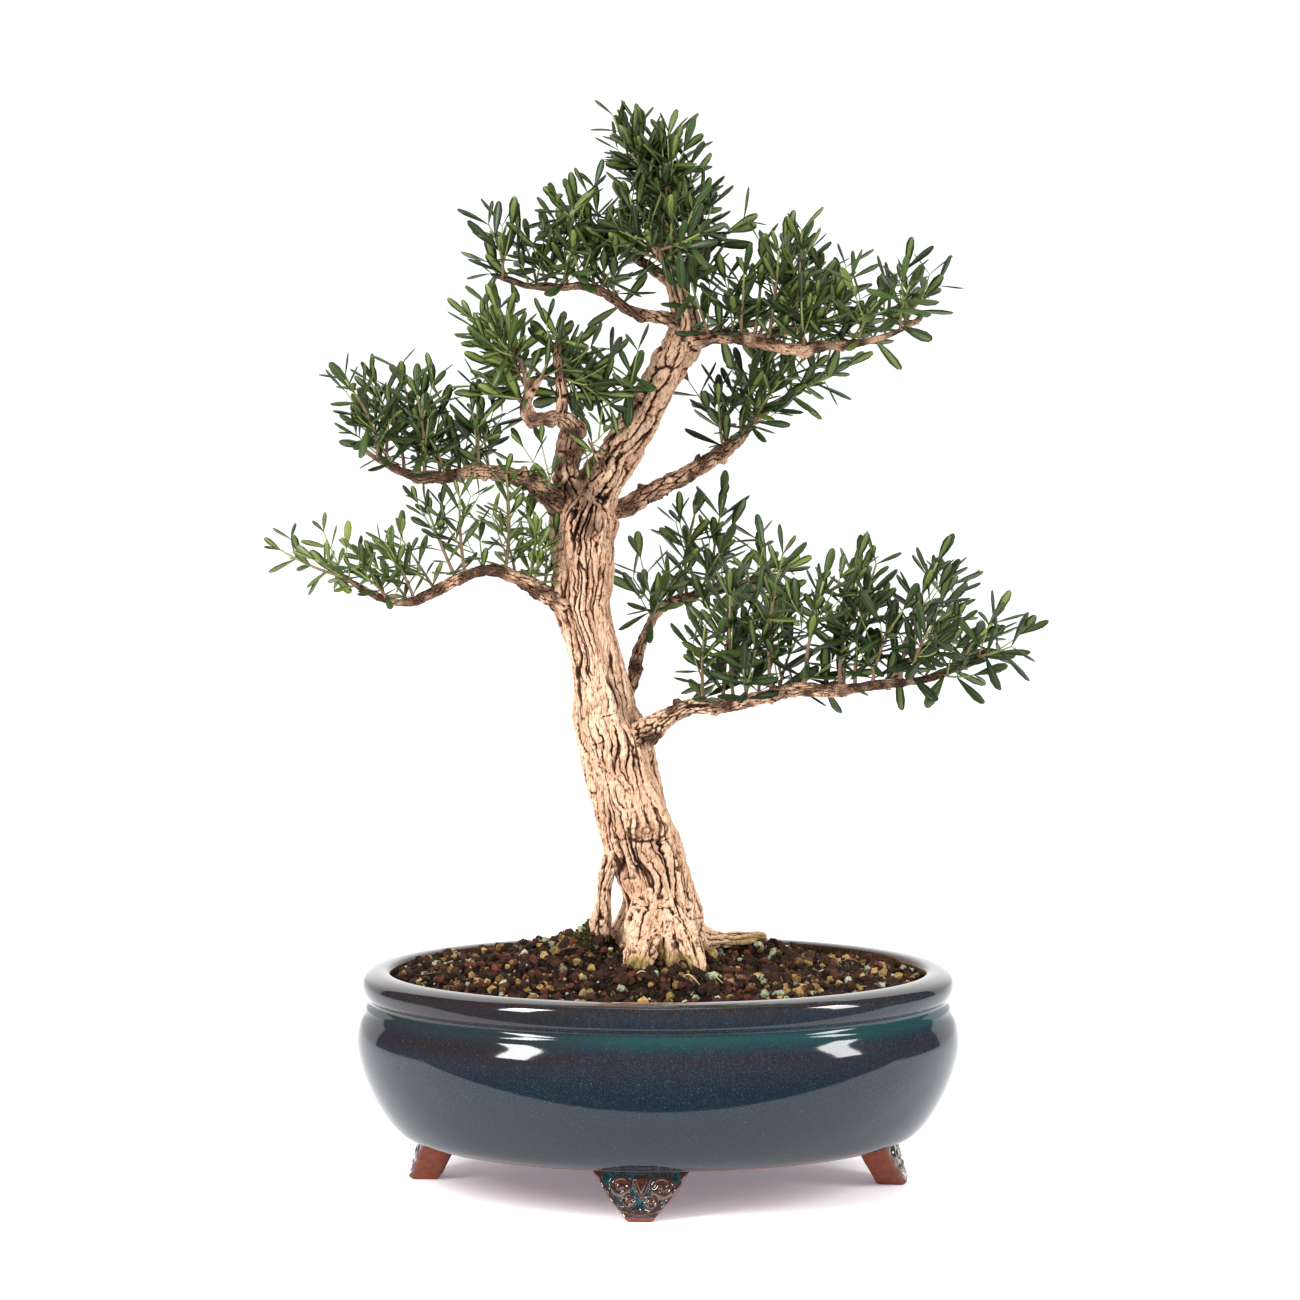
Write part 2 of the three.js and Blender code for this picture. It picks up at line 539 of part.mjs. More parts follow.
addMesh(planter, 'pot', makePot(), GLAZE);
addMesh(planter, 'soil', makeSoil(BURIED.map(buriedSolid)), EARTH);
for (const [hand, x] of [['left', -DRAIN.x], ['right', DRAIN.x]]) {
  const screen = addMesh(planter, `drain_screen_${hand}`, toGeometry(screenSolid()), MESH_PLASTIC);
  screen.position.set(x, 0, POT_FLOOR + GAP);
}

const wood = makeWood();
addMesh(tree, 'trunk_and_branches', toGeometry(wood), BARK);
makeShoots(wood).forEach(({ name, solid }, i) => {
  addMesh(tree, name, toGeometry(solid), FOLIAGE[i % FOLIAGE.length]);
});

// The origin is on the ground, under the middle of the whole plant's box
const box = new THREE.Box3().setFromObject(bonsai);
const centre = box.getCenter(new THREE.Vector3());
bonsai.position.set(-centre.x, -centre.y, -box.min.z);

export default bonsai;
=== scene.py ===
# %% [markdown]
# # A boxwood bonsai in its glazed oval pot
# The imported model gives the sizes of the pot, the soil, the wood and the leafy shoots. Here each of them
# gets its real surface: fissured bark, running glaze, grit and thousands of leaves. All measures below
# are millimetres from the middle of the pot at table height. One function turns them into metres, because
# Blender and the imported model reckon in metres.

import math

import bmesh
import bpy
import numpy as np
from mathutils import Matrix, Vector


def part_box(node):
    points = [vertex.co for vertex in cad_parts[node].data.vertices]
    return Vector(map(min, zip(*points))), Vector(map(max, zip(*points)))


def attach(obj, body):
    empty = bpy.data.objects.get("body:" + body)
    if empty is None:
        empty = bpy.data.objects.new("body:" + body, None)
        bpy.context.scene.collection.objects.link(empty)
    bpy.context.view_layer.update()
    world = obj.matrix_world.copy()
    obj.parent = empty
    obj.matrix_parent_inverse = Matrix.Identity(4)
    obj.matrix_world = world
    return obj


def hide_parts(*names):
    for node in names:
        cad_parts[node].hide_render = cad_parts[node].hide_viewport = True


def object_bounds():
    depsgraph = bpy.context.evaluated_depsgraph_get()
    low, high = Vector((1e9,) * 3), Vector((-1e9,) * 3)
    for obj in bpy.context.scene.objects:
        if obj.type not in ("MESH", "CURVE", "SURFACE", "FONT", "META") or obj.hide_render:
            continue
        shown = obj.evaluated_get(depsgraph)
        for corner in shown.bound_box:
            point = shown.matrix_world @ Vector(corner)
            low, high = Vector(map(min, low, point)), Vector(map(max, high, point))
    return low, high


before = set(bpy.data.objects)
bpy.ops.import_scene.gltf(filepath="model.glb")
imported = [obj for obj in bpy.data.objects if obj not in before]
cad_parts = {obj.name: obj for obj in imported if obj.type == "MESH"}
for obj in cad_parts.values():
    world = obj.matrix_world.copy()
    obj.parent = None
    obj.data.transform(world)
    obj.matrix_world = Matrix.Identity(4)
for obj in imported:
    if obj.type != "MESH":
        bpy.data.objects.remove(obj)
CAD_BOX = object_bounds()
POT_LOW, POT_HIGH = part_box("pot")
POT_MIDDLE = np.array([(POT_LOW.x + POT_HIGH.x) / 2, (POT_LOW.y + POT_HIGH.y) / 2, 0.0])
SHOOT_NODES = sorted(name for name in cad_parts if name.startswith("shoot_"))
print("nodes:", len(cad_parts), "of which shoots:", len(SHOOT_NODES))

# %% From millimetres to metres
MILLIMETRE = 0.001
PER_METRE = 1000


def metres(points):
    """Metres in the model's frame: a thousandth of each measure, moved to the middle of the pot."""
    return np.asarray(points, float) * MILLIMETRE + POT_MIDDLE


print("middle of the pot in metres:", metres((0, 0, 0)).round(4))

# %% [markdown]
# ## The camera
# A pot's rim shows as an ellipse, and how thin it is tells how high the lens stands. Here it is thin, so
# the lens is a little above the rim and almost level. A short lens close by would also take in the whole
# plant, but it would make the near side of the oval bulge. So a long lens looks from two metres away, as
# in a product picture.

# %% The camera
LENS_HEIGHT = 423
LENS_DISTANCE = 1930
AIM = (-4.64, 0, 309.3)
FOCAL_LENGTH = 92.7
SENSOR_WIDTH = 36
NEAREST = 0.05


def facing(way):
    """The turn that points a lens or a lamp, which looks down its own Z axis, along a way.

    The tilt's tangent is the way's length on the plan over its drop. The last turn's is its x over its y.
    """
    return math.atan2(math.hypot(way[0], way[1]), -way[2]), 0, math.atan2(-way[0], way[1])


camera = bpy.data.objects.new("camera", bpy.data.cameras.new("camera"))
bpy.context.scene.collection.objects.link(camera)
camera.data.lens = FOCAL_LENGTH
camera.data.sensor_width = SENSOR_WIDTH
camera.data.clip_start = NEAREST
camera.location = metres((0, -LENS_DISTANCE, LENS_HEIGHT))
camera.rotation_euler = facing(metres(AIM) - np.array(camera.location))
bpy.context.scene.camera = camera
print("camera looks down by", round(90 - math.degrees(camera.rotation_euler[0]), 2), "degrees")

# %% [markdown]
# ## Meshes from arrays
# Each surface is an array of points worked out at once. Most are skins of rings, like a stack of hoops:
# neighbouring hoops are joined by quads and the two ends are closed by fans. They could be modelled by
# hand too, but this way each size stays a named number that can be changed and run again.

# %% Grids and skins


def ring_numbers(count, sides):
    """Numbers of the points in a stack of rings, with each ring's first point once more at its end."""
    index = np.arange(count * sides).reshape(count, sides)
    return np.hstack([index, index[:, :1]])


def grid_quads(index):
    """Quads that join each point of a grid to its neighbours in the next column and the next row."""
    corners = [index[:-1, :-1], index[:-1, 1:], index[1:, 1:], index[1:, :-1]]
    return np.stack(corners, -1).reshape(-1, 4)


def skin(rings):
    """Points, quads and triangles of a closed skin.

    Quads join each ring of points to the next, and a fan about its middle closes each end.
    """
    count, sides, _ = rings.shape
    index = ring_numbers(count, sides)
    middle = np.full(sides, count * sides)
    fans = [
        np.stack([middle, index[0, 1:], index[0, :-1]], -1),
        np.stack([middle + 1, index[-1, :-1], index[-1, 1:]], -1),
    ]
    middles = np.stack([rings[0].mean(0), rings[-1].mean(0)])
    return np.vstack([rings.reshape(-1, 3), middles]), grid_quads(index), np.vstack(fans)


print("quads between two rings of four points:", len(grid_quads(ring_numbers(2, 4))))

# %% [markdown]
# A heap gathers many skins and becomes one mesh, since Blender handles one large mesh faster than many
# small objects. Each point also carries three numbers, its marks, which the finishes read later.

# %% Heaps of skins
NO_QUADS = np.zeros((0, 4), int)
NO_TRIANGLES = np.zeros((0, 3), int)


class Heap:
    """Gathers skins and the numbers that belong to their points."""

    def __init__(self):
        self.points, self.quads, self.triangles, self.marks, self.size = [], [], [], [], 0

    def add(self, points, quads, triangles, marks):
        """Adds a skin. Its marks are three numbers for each point."""
        self.quads.append(quads + self.size)
        self.triangles.append(triangles + self.size)
        self.points.append(points)
        self.marks.append(np.broadcast_to(marks, points.shape))
        self.size += len(points)

    def add_rings(self, rings, marks=(0, 0, 0)):
        """Adds a closed skin of rings. The fans' middles take the marks of the end rings' first points."""
        points, quads, triangles = skin(rings)
        marks = np.asarray(marks, float)
        if marks.ndim == 3:
            marks = np.vstack([marks.reshape(-1, 3), marks[0, :1], marks[-1, :1]])
        self.add(points, quads, triangles, marks)

    def add_tube(self, rings, marks):
        """Adds a stack of rings whose ends stay open."""
        marks = np.broadcast_to(marks, rings.shape).reshape(-1, 3)
        self.add(rings.reshape(-1, 3), grid_quads(ring_numbers(*rings.shape[:2])), NO_TRIANGLES, marks)

    def piece(self, name, finish, slot, replaces, smooth=True):
        """The heap as one object that rides on the model's only body."""
        quads, triangles = np.vstack(self.quads), np.vstack(self.triangles)
        mesh = bpy.data.meshes.new(name)
        mesh.from_pydata(metres(np.vstack(self.points)), [], quads.tolist() + triangles.tolist())
        mesh.attributes.new("marks", "FLOAT_VECTOR", "POINT")
        mesh.attributes["marks"].data.foreach_set("vector", np.vstack(self.marks).astype(np.float32).ravel())
        mesh.polygons.foreach_set("use_smooth", np.full(len(mesh.polygons), smooth))
        mesh.update()
        piece = bpy.data.objects.new(name, mesh)
        bpy.context.scene.collection.objects.link(piece)
        mesh.materials.append(finish.material)
        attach(piece, "root")
        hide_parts(*replaces)
        print(name, "triangles:", 2 * len(quads) + len(triangles))
        return piece


print("points in a new heap:", Heap().size)

# %% [markdown]
# Rough nature needs noise. A block of random numbers, read between its cells with a smooth step, gives
# soft lumps, and a few sizes of it added together give bark, soil and stone. A Displace modifier has such
# noise as well, but here one block serves shapes and marks alike, so the colour of a crack sits in its
# hollow.

# %% Noise
NOISE_SEED = 5
NOISE_CELLS = 32
NOISE_BLOCK = np.random.default_rng(NOISE_SEED).random((NOISE_CELLS,) * 3) * 2 - 1


def smooth_step(low, high, value):
    """From 0 at low to 1 at high, level at both: three times the share squared, less twice its cube."""
    share = np.clip((value - low) / (high - low), 0, 1)
    return share * share * (3 - 2 * share)


def noise(points, shift=0.0):
    """Lumps one unit wide, from -1 to 1.

    Each is the sum of the eight random numbers round a point, weighed by smooth steps of its place
    between them.
    """
    points = np.asarray(points, float) + shift
    cell = np.floor(points).astype(int)
    share = smooth_step(0, 1, points - cell)
    total = 0.0
    for corner in np.ndindex(2, 2, 2):
        weight = np.prod(np.where(corner, share, 1 - share), axis=-1)
        spot = (cell + corner) % NOISE_CELLS
        total = total + weight * NOISE_BLOCK[spot[..., 0], spot[..., 1], spot[..., 2]]
    return total


def rough_noise(points, layers=3, shift=0.0):
    """Noise plus finer noise, each layer half as wide and half as strong."""
    return sum(0.5**k * noise(np.asarray(points) * 2**k, shift + 7.3 * k) for k in range(layers))


print("noise spans", NOISE_BLOCK.min().round(2), "to", NOISE_BLOCK.max().round(2))

# %% [markdown]
# ## Finishes as expressions
# A finish is a material whose nodes are written as sums and products. They could be linked one by one in
# the shader editor, but a line of arithmetic is easier to read and to change. The small class below wraps
# one socket, so that `0.4 + 0.2 * mask` adds the Math nodes for it.

# %% Sockets that can be added and multiplied


class Value:
    """A socket of a node tree that stands in Python expressions."""

    def __init__(self, tree, socket):
        self.tree, self.socket = tree, socket

    def node(self, kind, settings=None, inputs=None, output=0):
        """Adds a node of any kind: its settings first, then the values or links of its sockets."""
        node = self.tree.nodes.new(kind)
        for key, value in (settings or {}).items():
            if key == "stops":
                ramp = node.color_ramp
                while len(ramp.elements) < len(value):
                    ramp.elements.new(1)
                for element, (at, colour) in zip(ramp.elements, value):
                    element.position = at
                    element.color = (*colour, 1)
            else:
                setattr(node, key, value)
        for key, value in (inputs or {}).items():
            if isinstance(value, Value):
                self.tree.links.new(value.socket, node.inputs[key])
            else:
                node.inputs[key].default_value = value
        return Value(self.tree, node.outputs[output])

    def math(self, operation, first, second):
        """A Math node of two numbers."""
        return self.node("ShaderNodeMath", {"operation": operation}, {0: first, 1: second})

    def __add__(self, other):
        return self.math("ADD", self, other)

    def __radd__(self, other):
        return self.math("ADD", other, self)

    def __sub__(self, other):
        return self.math("SUBTRACT", self, other)

    def __rsub__(self, other):
        return self.math("SUBTRACT", other, self)

    def __mul__(self, other):
        return self.math("MULTIPLY", self, other)

    def __rmul__(self, other):
        return self.math("MULTIPLY", other, self)

    def step(self, low, high):
        """A smooth step from 0 at low to 1 at high."""
        settings = {"interpolation_type": "SMOOTHSTEP"}
        return self.node("ShaderNodeMapRange", settings, {"Value": self, "From Min": low, "From Max": high})

    def part(self, axis):
        """One number of a vector: 0, 1 or 2 for X, Y or Z."""
        return self.node("ShaderNodeSeparateXYZ", {}, {0: self}, axis)

    def stretched(self, x, y, z):
        """A vector with each of its numbers multiplied."""
        return self.node("ShaderNodeVectorMath", {"operation": "MULTIPLY"}, {0: self, 1: (x, y, z)})

    def noise(self, scale, detail, roughness=0.55):
        """Noise at this vector, about 0 to 1."""
        inputs = {"Vector": self, "Scale": scale, "Detail": detail, "Roughness": roughness}
        return self.node("ShaderNodeTexNoise", {}, inputs)

    def distance(self, point):
        """How far this place is from a point."""
        return self.node("ShaderNodeVectorMath", {"operation": "DISTANCE"}, {0: self, 1: tuple(point)}, 1)

    def blend(self, first, second):
        """The first colour where this mask is 0 and the second where it is 1."""
        settings = {"data_type": "RGBA"}
        return self.node("ShaderNodeMix", settings, {0: self, 6: as_colour(first), 7: as_colour(second)}, 2)

    def ramp(self, stops):
        """A colour ramp along this value, from stops of a position and a colour."""
        return self.node("ShaderNodeValToRGB", {"stops": [(at, linear(c)) for at, c in stops]}, {0: self})


print("sockets take part in sums, differences and products")

# %% [markdown]
# A colour is noted as a screen shows it, from 0 to 255, because that is how it is picked from a picture.
# Nodes reckon with light, so each colour is turned into light before it goes into a socket.

# %% Screen colours


def linear(colour):
    """Light from the 0 to 255 of a screen colour.

    That is a twelfth of the share in the darkest tones, and above them a power of 2.4 of the slightly
    lifted share.
    """
    share = np.array(colour) / 255
    light = np.where(share < 0.04045, share / 12.92, ((share + 0.055) / 1.055) ** 2.4)
    return tuple(float(part) for part in light)


def as_colour(colour):
    """A link as it is, and a screen colour as the four numbers that a socket takes."""
    return colour if isinstance(colour, Value) else (*linear(colour), 1.0)


print("a screen's middle grey as light:", round(linear((128, 128, 128))[0], 3))

# %% [markdown]
# Every finish reads two things: the place on the object, for patterns that lie still on a surface, and
# the marks that the mesh carries.

# %% Finishes


class Finish:
    """A material with one Principled shader, its place on the object and the marks of its mesh."""

    def __init__(self, name, **constants):
        self.material = bpy.data.materials.new(name)
        self.material.use_nodes = True
        self.tree = self.material.node_tree
        self.shader = next(n for n in self.tree.nodes if n.type == "BSDF_PRINCIPLED")
        for key, value in constants.items():
            self.shader.inputs[key.replace("_", " ")].default_value = value
        start = Value(self.tree, None)
        self.place = start.node("ShaderNodeTexCoord", output="Object")
        self.marks = start.node("ShaderNodeAttribute", {"attribute_name": "marks"}, output="Vector")

    def feed(self, socket, value):
        """Links a value to a socket of the shader."""
        self.tree.links.new(value.socket, self.shader.inputs[socket])

    def bump(self, height, distance, strength):
        """Feeds the normal through a bump of this height in metres."""
        inputs = {"Height": height, "Distance": distance, "Strength": strength}
        self.feed("Normal", height.node("ShaderNodeBump", {}, inputs))


print("materials before the first finish:", len(bpy.data.materials))

# %% [markdown]
# ## Studio
# A product picture is taken on a white sweep. Behind the plant everything is white, which lights the
# edges of the pot, and two soft boxes in front draw the small bright windows on its shoulder. In front of
# the table the room is dark. It could be a closed studio with walls, but only reflections need the room,
# so a black tent shows in them alone and takes no light away.

# %% Plain surfaces for the studio
STAGE_ROUGHNESS = 0.9


def stage_grid(name, corners, colour, glow=(0, 0, 0)):
    """A plain surface between rows of points: a wall or a floor."""
    rows, columns, _ = corners.shape
    quads = grid_quads(np.arange(rows * columns).reshape(rows, columns))
    mesh = bpy.data.meshes.new(name)
    mesh.from_pydata(metres(corners.reshape(-1, 3)), [], quads.tolist())
    finish = Finish(name, Base_Color=as_colour(colour), Roughness=STAGE_ROUGHNESS, Specular_IOR_Level=0)
    finish.shader.inputs["Emission Color"].default_value = (*glow, 1)
    finish.shader.inputs["Emission Strength"].default_value = 1
    mesh.materials.append(finish.material)
    wall = bpy.data.objects.new(name, mesh)
    bpy.context.scene.collection.objects.link(wall)
    print(name, "quads:", len(quads))
    return wall


def floor_corners(half_length, front, back, height):
    """The four corners of a level floor, as a grid of two rows."""
    return np.array([[(x, y, height) for x in (-half_length, half_length)] for y in (front, back)], float)


def reflected_only(wall):
    """Hides a wall from everything but reflections."""
    wall.visible_camera = wall.visible_diffuse = wall.visible_shadow = False
    wall.visible_transmission = wall.visible_volume_scatter = False


# %% The table and the dark room
TABLE_REACH = 9000
TABLE_COLOUR = (253, 252, 252)
# The table glows faintly and bluish: painted light that lightens the shadow under the pot.
TABLE_GLOW = (0.13, 0.145, 0.175)
TABLE_EDGE = -196
ROOM_COLOUR = (4, 4, 5)
ROOM_FLOOR = 1
TENT_RADIUS = 3000
TENT_HEIGHT = 3600
TENT_PEAK = (200, 3660)
TENT_HALF_ANGLE = 122
TENT_COLUMNS = 40

stage_grid("table", floor_corners(TABLE_REACH, -TABLE_REACH, TABLE_REACH, 0), TABLE_COLOUR, TABLE_GLOW)

tent_angles = np.radians(np.linspace(-90 - TENT_HALF_ANGLE, -90 + TENT_HALF_ANGLE, TENT_COLUMNS))
tent_ring = np.stack([np.cos(tent_angles), np.sin(tent_angles), np.zeros_like(tent_angles)], -1)
tent_rows = [(TENT_RADIUS, ROOM_FLOOR), (TENT_RADIUS, TENT_HEIGHT), TENT_PEAK]
tent_corners = np.stack([tent_ring * reach + (0, 0, z) for reach, z in tent_rows])
reflected_only(stage_grid("dark_room", tent_corners, ROOM_COLOUR))
room_floor = floor_corners(TENT_RADIUS, -TENT_RADIUS, TABLE_EDGE, ROOM_FLOOR)
reflected_only(stage_grid("dark_floor", room_floor, ROOM_COLOUR))

# %% [markdown]
# The world's white light does most of the work. The lamps only add the windows in the glaze and a little
# light from above, and the lamp above stays out of the reflections, because a third window would look
# wrong.

# %% The lamps and the white world
WORLD_LIGHT = 1.14
LAMPS_AIM = (0, 0, 200)
SOFT_BOXES = [((-1125, -1000, 1130), (330, 900), 30), ((1515, -700, 1030), (360, 900), 22)]
TOP_BOX = ((-300, -1300, 2100), (1500, 900), 9)


def soft_box(name, place, size, power):
    """A rectangular lamp that faces the plant."""
    data = bpy.data.lights.new(name, "AREA")
    data.shape = "RECTANGLE"
    data.size, data.size_y = size[0] / PER_METRE, size[1] / PER_METRE
    data.energy = power
    lamp = bpy.data.objects.new(name, data)
    bpy.context.scene.collection.objects.link(lamp)
    lamp.location = metres(place)
    lamp.rotation_euler = facing(np.array(LAMPS_AIM, float) - np.array(place, float))
    return lamp


for number, (place, size, power) in enumerate(SOFT_BOXES):
    soft_box(f"soft_box_{number}", place, size, power)
soft_box("top_light", *TOP_BOX).visible_glossy = False

world = bpy.data.worlds.new("white_studio")
world.use_nodes = True
background = world.node_tree.nodes["Background"]
background.inputs["Color"].default_value = (1, 1, 1, 1)
background.inputs["Strength"].default_value = WORLD_LIGHT
bpy.context.scene.world = world
bpy.context.scene.view_settings.view_transform = "Standard"
print("lamps:", len(SOFT_BOXES) + 1)

# %% [markdown]
# ## The pot
# A glazed stoneware bowl is a profile carried round. The Screw modifier could turn a round one, but this
# one is an oval. Its half-depth is its half-length less 35 mm, which keeps the wall equally thick all
# round, so the profile is carried round that oval by a formula. The profile is a smooth curve through a
# few measured points, from the underside, up the belly, over the lip and down inside to the floor.

# %% The profile
POT_OUTSIDE = [
    (138, 26.7), (149.4, 30), (157, 38), (163.5, 48), (168.8, 59), (172.8, 70), (175, 81), (174.4, 89.5),
    (172.4, 96), (170, 100.2), (169.4, 103.6), (167.6, 107.4), (170.5, 112), (171.3, 117), (169.6, 121.6),
    (164.8, 124.3), (158.6, 124.6),
]
POT_INSIDE = [(155.2, 122.4), (154.6, 116), (157, 99), (163.4, 82), (159.4, 61), (148.4, 44.5), (134, 36.7)]
PROFILE_POINTS = 140


def through(points, count):
    """A curve through all the points, evenly spread in number.

    Between two points it is the cubic whose slope at each point is half the step between that point's
    neighbours.
    """
    points = np.asarray(points, float)
    ends = np.vstack([2 * points[0] - points[1], points, 2 * points[-1] - points[-2]])
    place = np.linspace(0, len(points) - 1, count)
    cell = np.minimum(place.astype(int), len(points) - 2)
    t = (place - cell)[:, None]
    a, b, c, d = (ends[cell + k] for k in range(4))
    return b + 0.5 * t * (c - a + t * (2 * a - 5 * b + 4 * c - d + t * (3 * b - a - 3 * c + d)))


profile = through(POT_OUTSIDE + POT_INSIDE, PROFILE_POINTS)
print("profile points:", len(profile), "widest half-length:", profile[:, 0].max().round(1))

# %% [markdown]
# A curve through measured points waves a little, and a gloss shows every wave. So the belly is evened
# out: again and again each of its points moves to the mean of its two neighbours and, twice, itself.

# %% The evened belly
BELLY_NUMBERS = (2, 70)
BELLY_TOP = 103
EVENING_ROUNDS = 12

numbers = np.arange(PROFILE_POINTS)
belly = (numbers > BELLY_NUMBERS[0]) & (numbers < BELLY_NUMBERS[1]) & (profile[:, 1] < BELLY_TOP)
for _ in range(EVENING_ROUNDS):
    evened = (np.roll(profile, 1, 0) + 2 * profile + np.roll(profile, -1, 0)) / 4
    profile = np.where(belly[:, None], evened, profile)
print("evened points:", int(belly.sum()))

# %% [markdown]
# The same oval serves the wall, the floor, the feet and the bed of soil, so it is a function of its own.
# Points on a plan are made first and get their height afterwards.

# %% The oval
OVAL_TRIM = 35
OVAL_CORE = 100
AROUND = 240
turn = np.arange(AROUND) * 2 * np.pi / AROUND


def oval(half_length, angle):
    """Points of an oval: half the length times the cosine of the angle, and half the depth times the sine."""
    half_length = np.asarray(half_length, float)
    half_depth = half_length - OVAL_TRIM * np.minimum(1, half_length / OVAL_CORE)
    return np.stack(np.broadcast_arrays(half_length * np.cos(angle), half_depth * np.sin(angle)), -1)


def with_height(flat, z):
    """Points on a plan, raised to a height."""
    return np.concatenate([flat, np.broadcast_to(z, flat.shape[:-1])[..., None]], -1)


print("the pot at its widest:", (2 * oval(profile[:, 0].max(), [0, np.pi / 2]).max(0)).round(1), "mm")

# %% [markdown]
# A bonsai pot has a drain hole in each half of its floor. A Boolean could cut them, but it leaves untidy
# faces. Instead, straight lines run from the points round a hole to the points of the half's edge, so
# hole, floor and wall share their points. The other half is the mirror image, and welding closes the
# seams.

# %% The pot's wall and its floor with the drain holes
DRAIN_X = 62
DRAIN_RADIUS = 9
SEAM_POINTS = 42
FLOOR_ROWS = 7
HOLE_ROWS = 4
GLAZE_END = (29.6, 27.6)


def holed_half(half_length, z):
    """Half of the floor: each point moves in a straight line from the hole's edge to the edge of the half."""
    edge = oval(half_length, np.linspace(-np.pi / 2, np.pi / 2, AROUND // 2 + 1))
    seam = np.linspace(edge[-1], edge[0], SEAM_POINTS)[1:-1]
    edge = np.vstack([edge, seam])
    way = edge - (DRAIN_X, 0)
    hole = (DRAIN_X, 0) + DRAIN_RADIUS * way / np.linalg.norm(way, axis=1, keepdims=True)
    share = np.linspace(0, 1, FLOOR_ROWS)[:, None, None]
    return with_height(hole + share * (edge - hole), z)


pot = Heap()
walls = with_height(oval(profile[:, :1], turn), profile[:, 1:])
place_on_profile = np.arange(PROFILE_POINTS) / (PROFILE_POINTS - 1) * (len(POT_OUTSIDE + POT_INSIDE) - 1)
inside = place_on_profile - len(POT_OUTSIDE) + 1
wall_marks = np.zeros(walls.shape)
wall_marks[..., 0] = np.clip(inside, 0, 1)[:, None]
wall_marks[..., 1] = smooth_step(*GLAZE_END, walls[..., 2]) * (inside < 0)[:, None]
pot.add_tube(walls, wall_marks)

under, top = holed_half(*POT_OUTSIDE[0]), holed_half(*POT_INSIDE[-1])
hole_wall = np.linspace(under[0], top[0], HOLE_ROWS)
for mirror in (1, -1):
    for grid, bare in ((under, 1), (top, 0), (hole_wall, 1)):
        pot.add_tube(grid * (mirror, 1, 1), (1 - bare, bare, 0))
print("points of the pot:", pot.size)

# %% [markdown]
# A foot is a block that narrows downwards and leans outwards. Its face carries a worn scrollwork in bold
# relief: a raised border, two fat curls above, a heart between them, two small curls below and a swag at
# the bottom. It could be sculpted, or faked with a bump. Here the relief is a height for each point of
# the face, so it is real geometry and also steers the glaze, which runs off the raised lines and pools
# blue-green in the hollows.

# %% The scrollwork of a foot
CURLS = [((-11.3, 18.6), 5.7), ((12.6, 17.9), 6.3), ((-6.6, 11.3), 3.9), ((6.2, 10.6), 4.1)]


def curl(s, z, middle, size):
    """A curl in relief: a round boss with a groove whose distance from the middle grows with its angle."""
    x, y = (s - middle[0]) / size, (z - middle[1]) / size
    reach, angle = np.hypot(x, y), np.arctan2(y, np.sign(middle[0]) * x)
    groove = np.exp(-(((reach - 0.5 - 0.1 * angle) / 0.12) ** 2))
    dome = np.sqrt(np.clip(1 - (reach / 1.12) ** 2, 0, 1))
    return dome * (1 - 0.5 * groove)


def foot_relief(s, z, half_width):
    """Height of the scrollwork, 0 to 1, at a distance s across the face and z above the table.

    It is the greatest of the heights of its parts, and it fades out below the pot.
    """
    border = smooth_step(4.2, 2.4, half_width - np.abs(s)) * (0.8 + 0.2 * np.sin(z * 0.8))
    half_heart = 6.2 * (np.clip(z - 11.5, 0, 12) / 12) ** 0.7
    heart = smooth_step(1.2, -2.4, np.abs(s - 0.6) - half_heart) * smooth_step(25.2, 22.4, z) * 0.9
    veins = 1 - 0.35 * np.exp(-(((np.abs(s - 0.6) - 0.45 * (z - 14)) / 0.5) ** 2))
    swag = np.exp(-(((z - 4.4 - 0.02 * s * s) / 1.3) ** 2)) * (np.abs(s) < half_width - 1)
    curls = [curl(s, z, middle, size) for middle, size in CURLS]
    return np.maximum.reduce([border, heart * veins, swag, *curls]) * smooth_step(28, 24.5, z)


print("curls on a foot:", len(CURLS))

# %% [markdown]
# A foot is a stack of loops, one for each height. The face has many points for its scrollwork. The ends
# and the back are plain and need few.

# %% The four feet
FOOT_TURNS = (-4, 86, 176, 266)
FOOT_LEVELS = np.array([(0, 7.5, 144, 128), (2.5, 9, 145.5, 127), (14, 20, 142.5, 123), (29, 29.5, 139, 118)])
FOOT_ROWS = 66
FACE_POINTS = 71
END_POINTS = 5
BACK_POINTS = 17
FACE_END = 0.985
RELIEF_HEIGHT = 2.8
FOOT_BEVEL = 0.8
BARE_STRIP = 2.4


def foot_loop():
    """Places round a foot: the share across its face, and 1 on the outer face to -1 on the inner face.

    The outer face's points are even, and they bend back near the corners as the tenth root of 1 less the
    tenth power of the share across.
    """
    share = np.linspace(-FACE_END, FACE_END, FACE_POINTS)
    face = np.stack([share, (1 - np.abs(share) ** 10) ** 0.1], -1)
    end = np.stack([np.ones(END_POINTS), np.linspace(0.6, -0.85, END_POINTS)], -1)
    back = np.stack([np.linspace(0.93, -0.93, BACK_POINTS), -np.ones(BACK_POINTS)], -1)
    return np.vstack([face, end, back, end[::-1] * (-1, 1)])


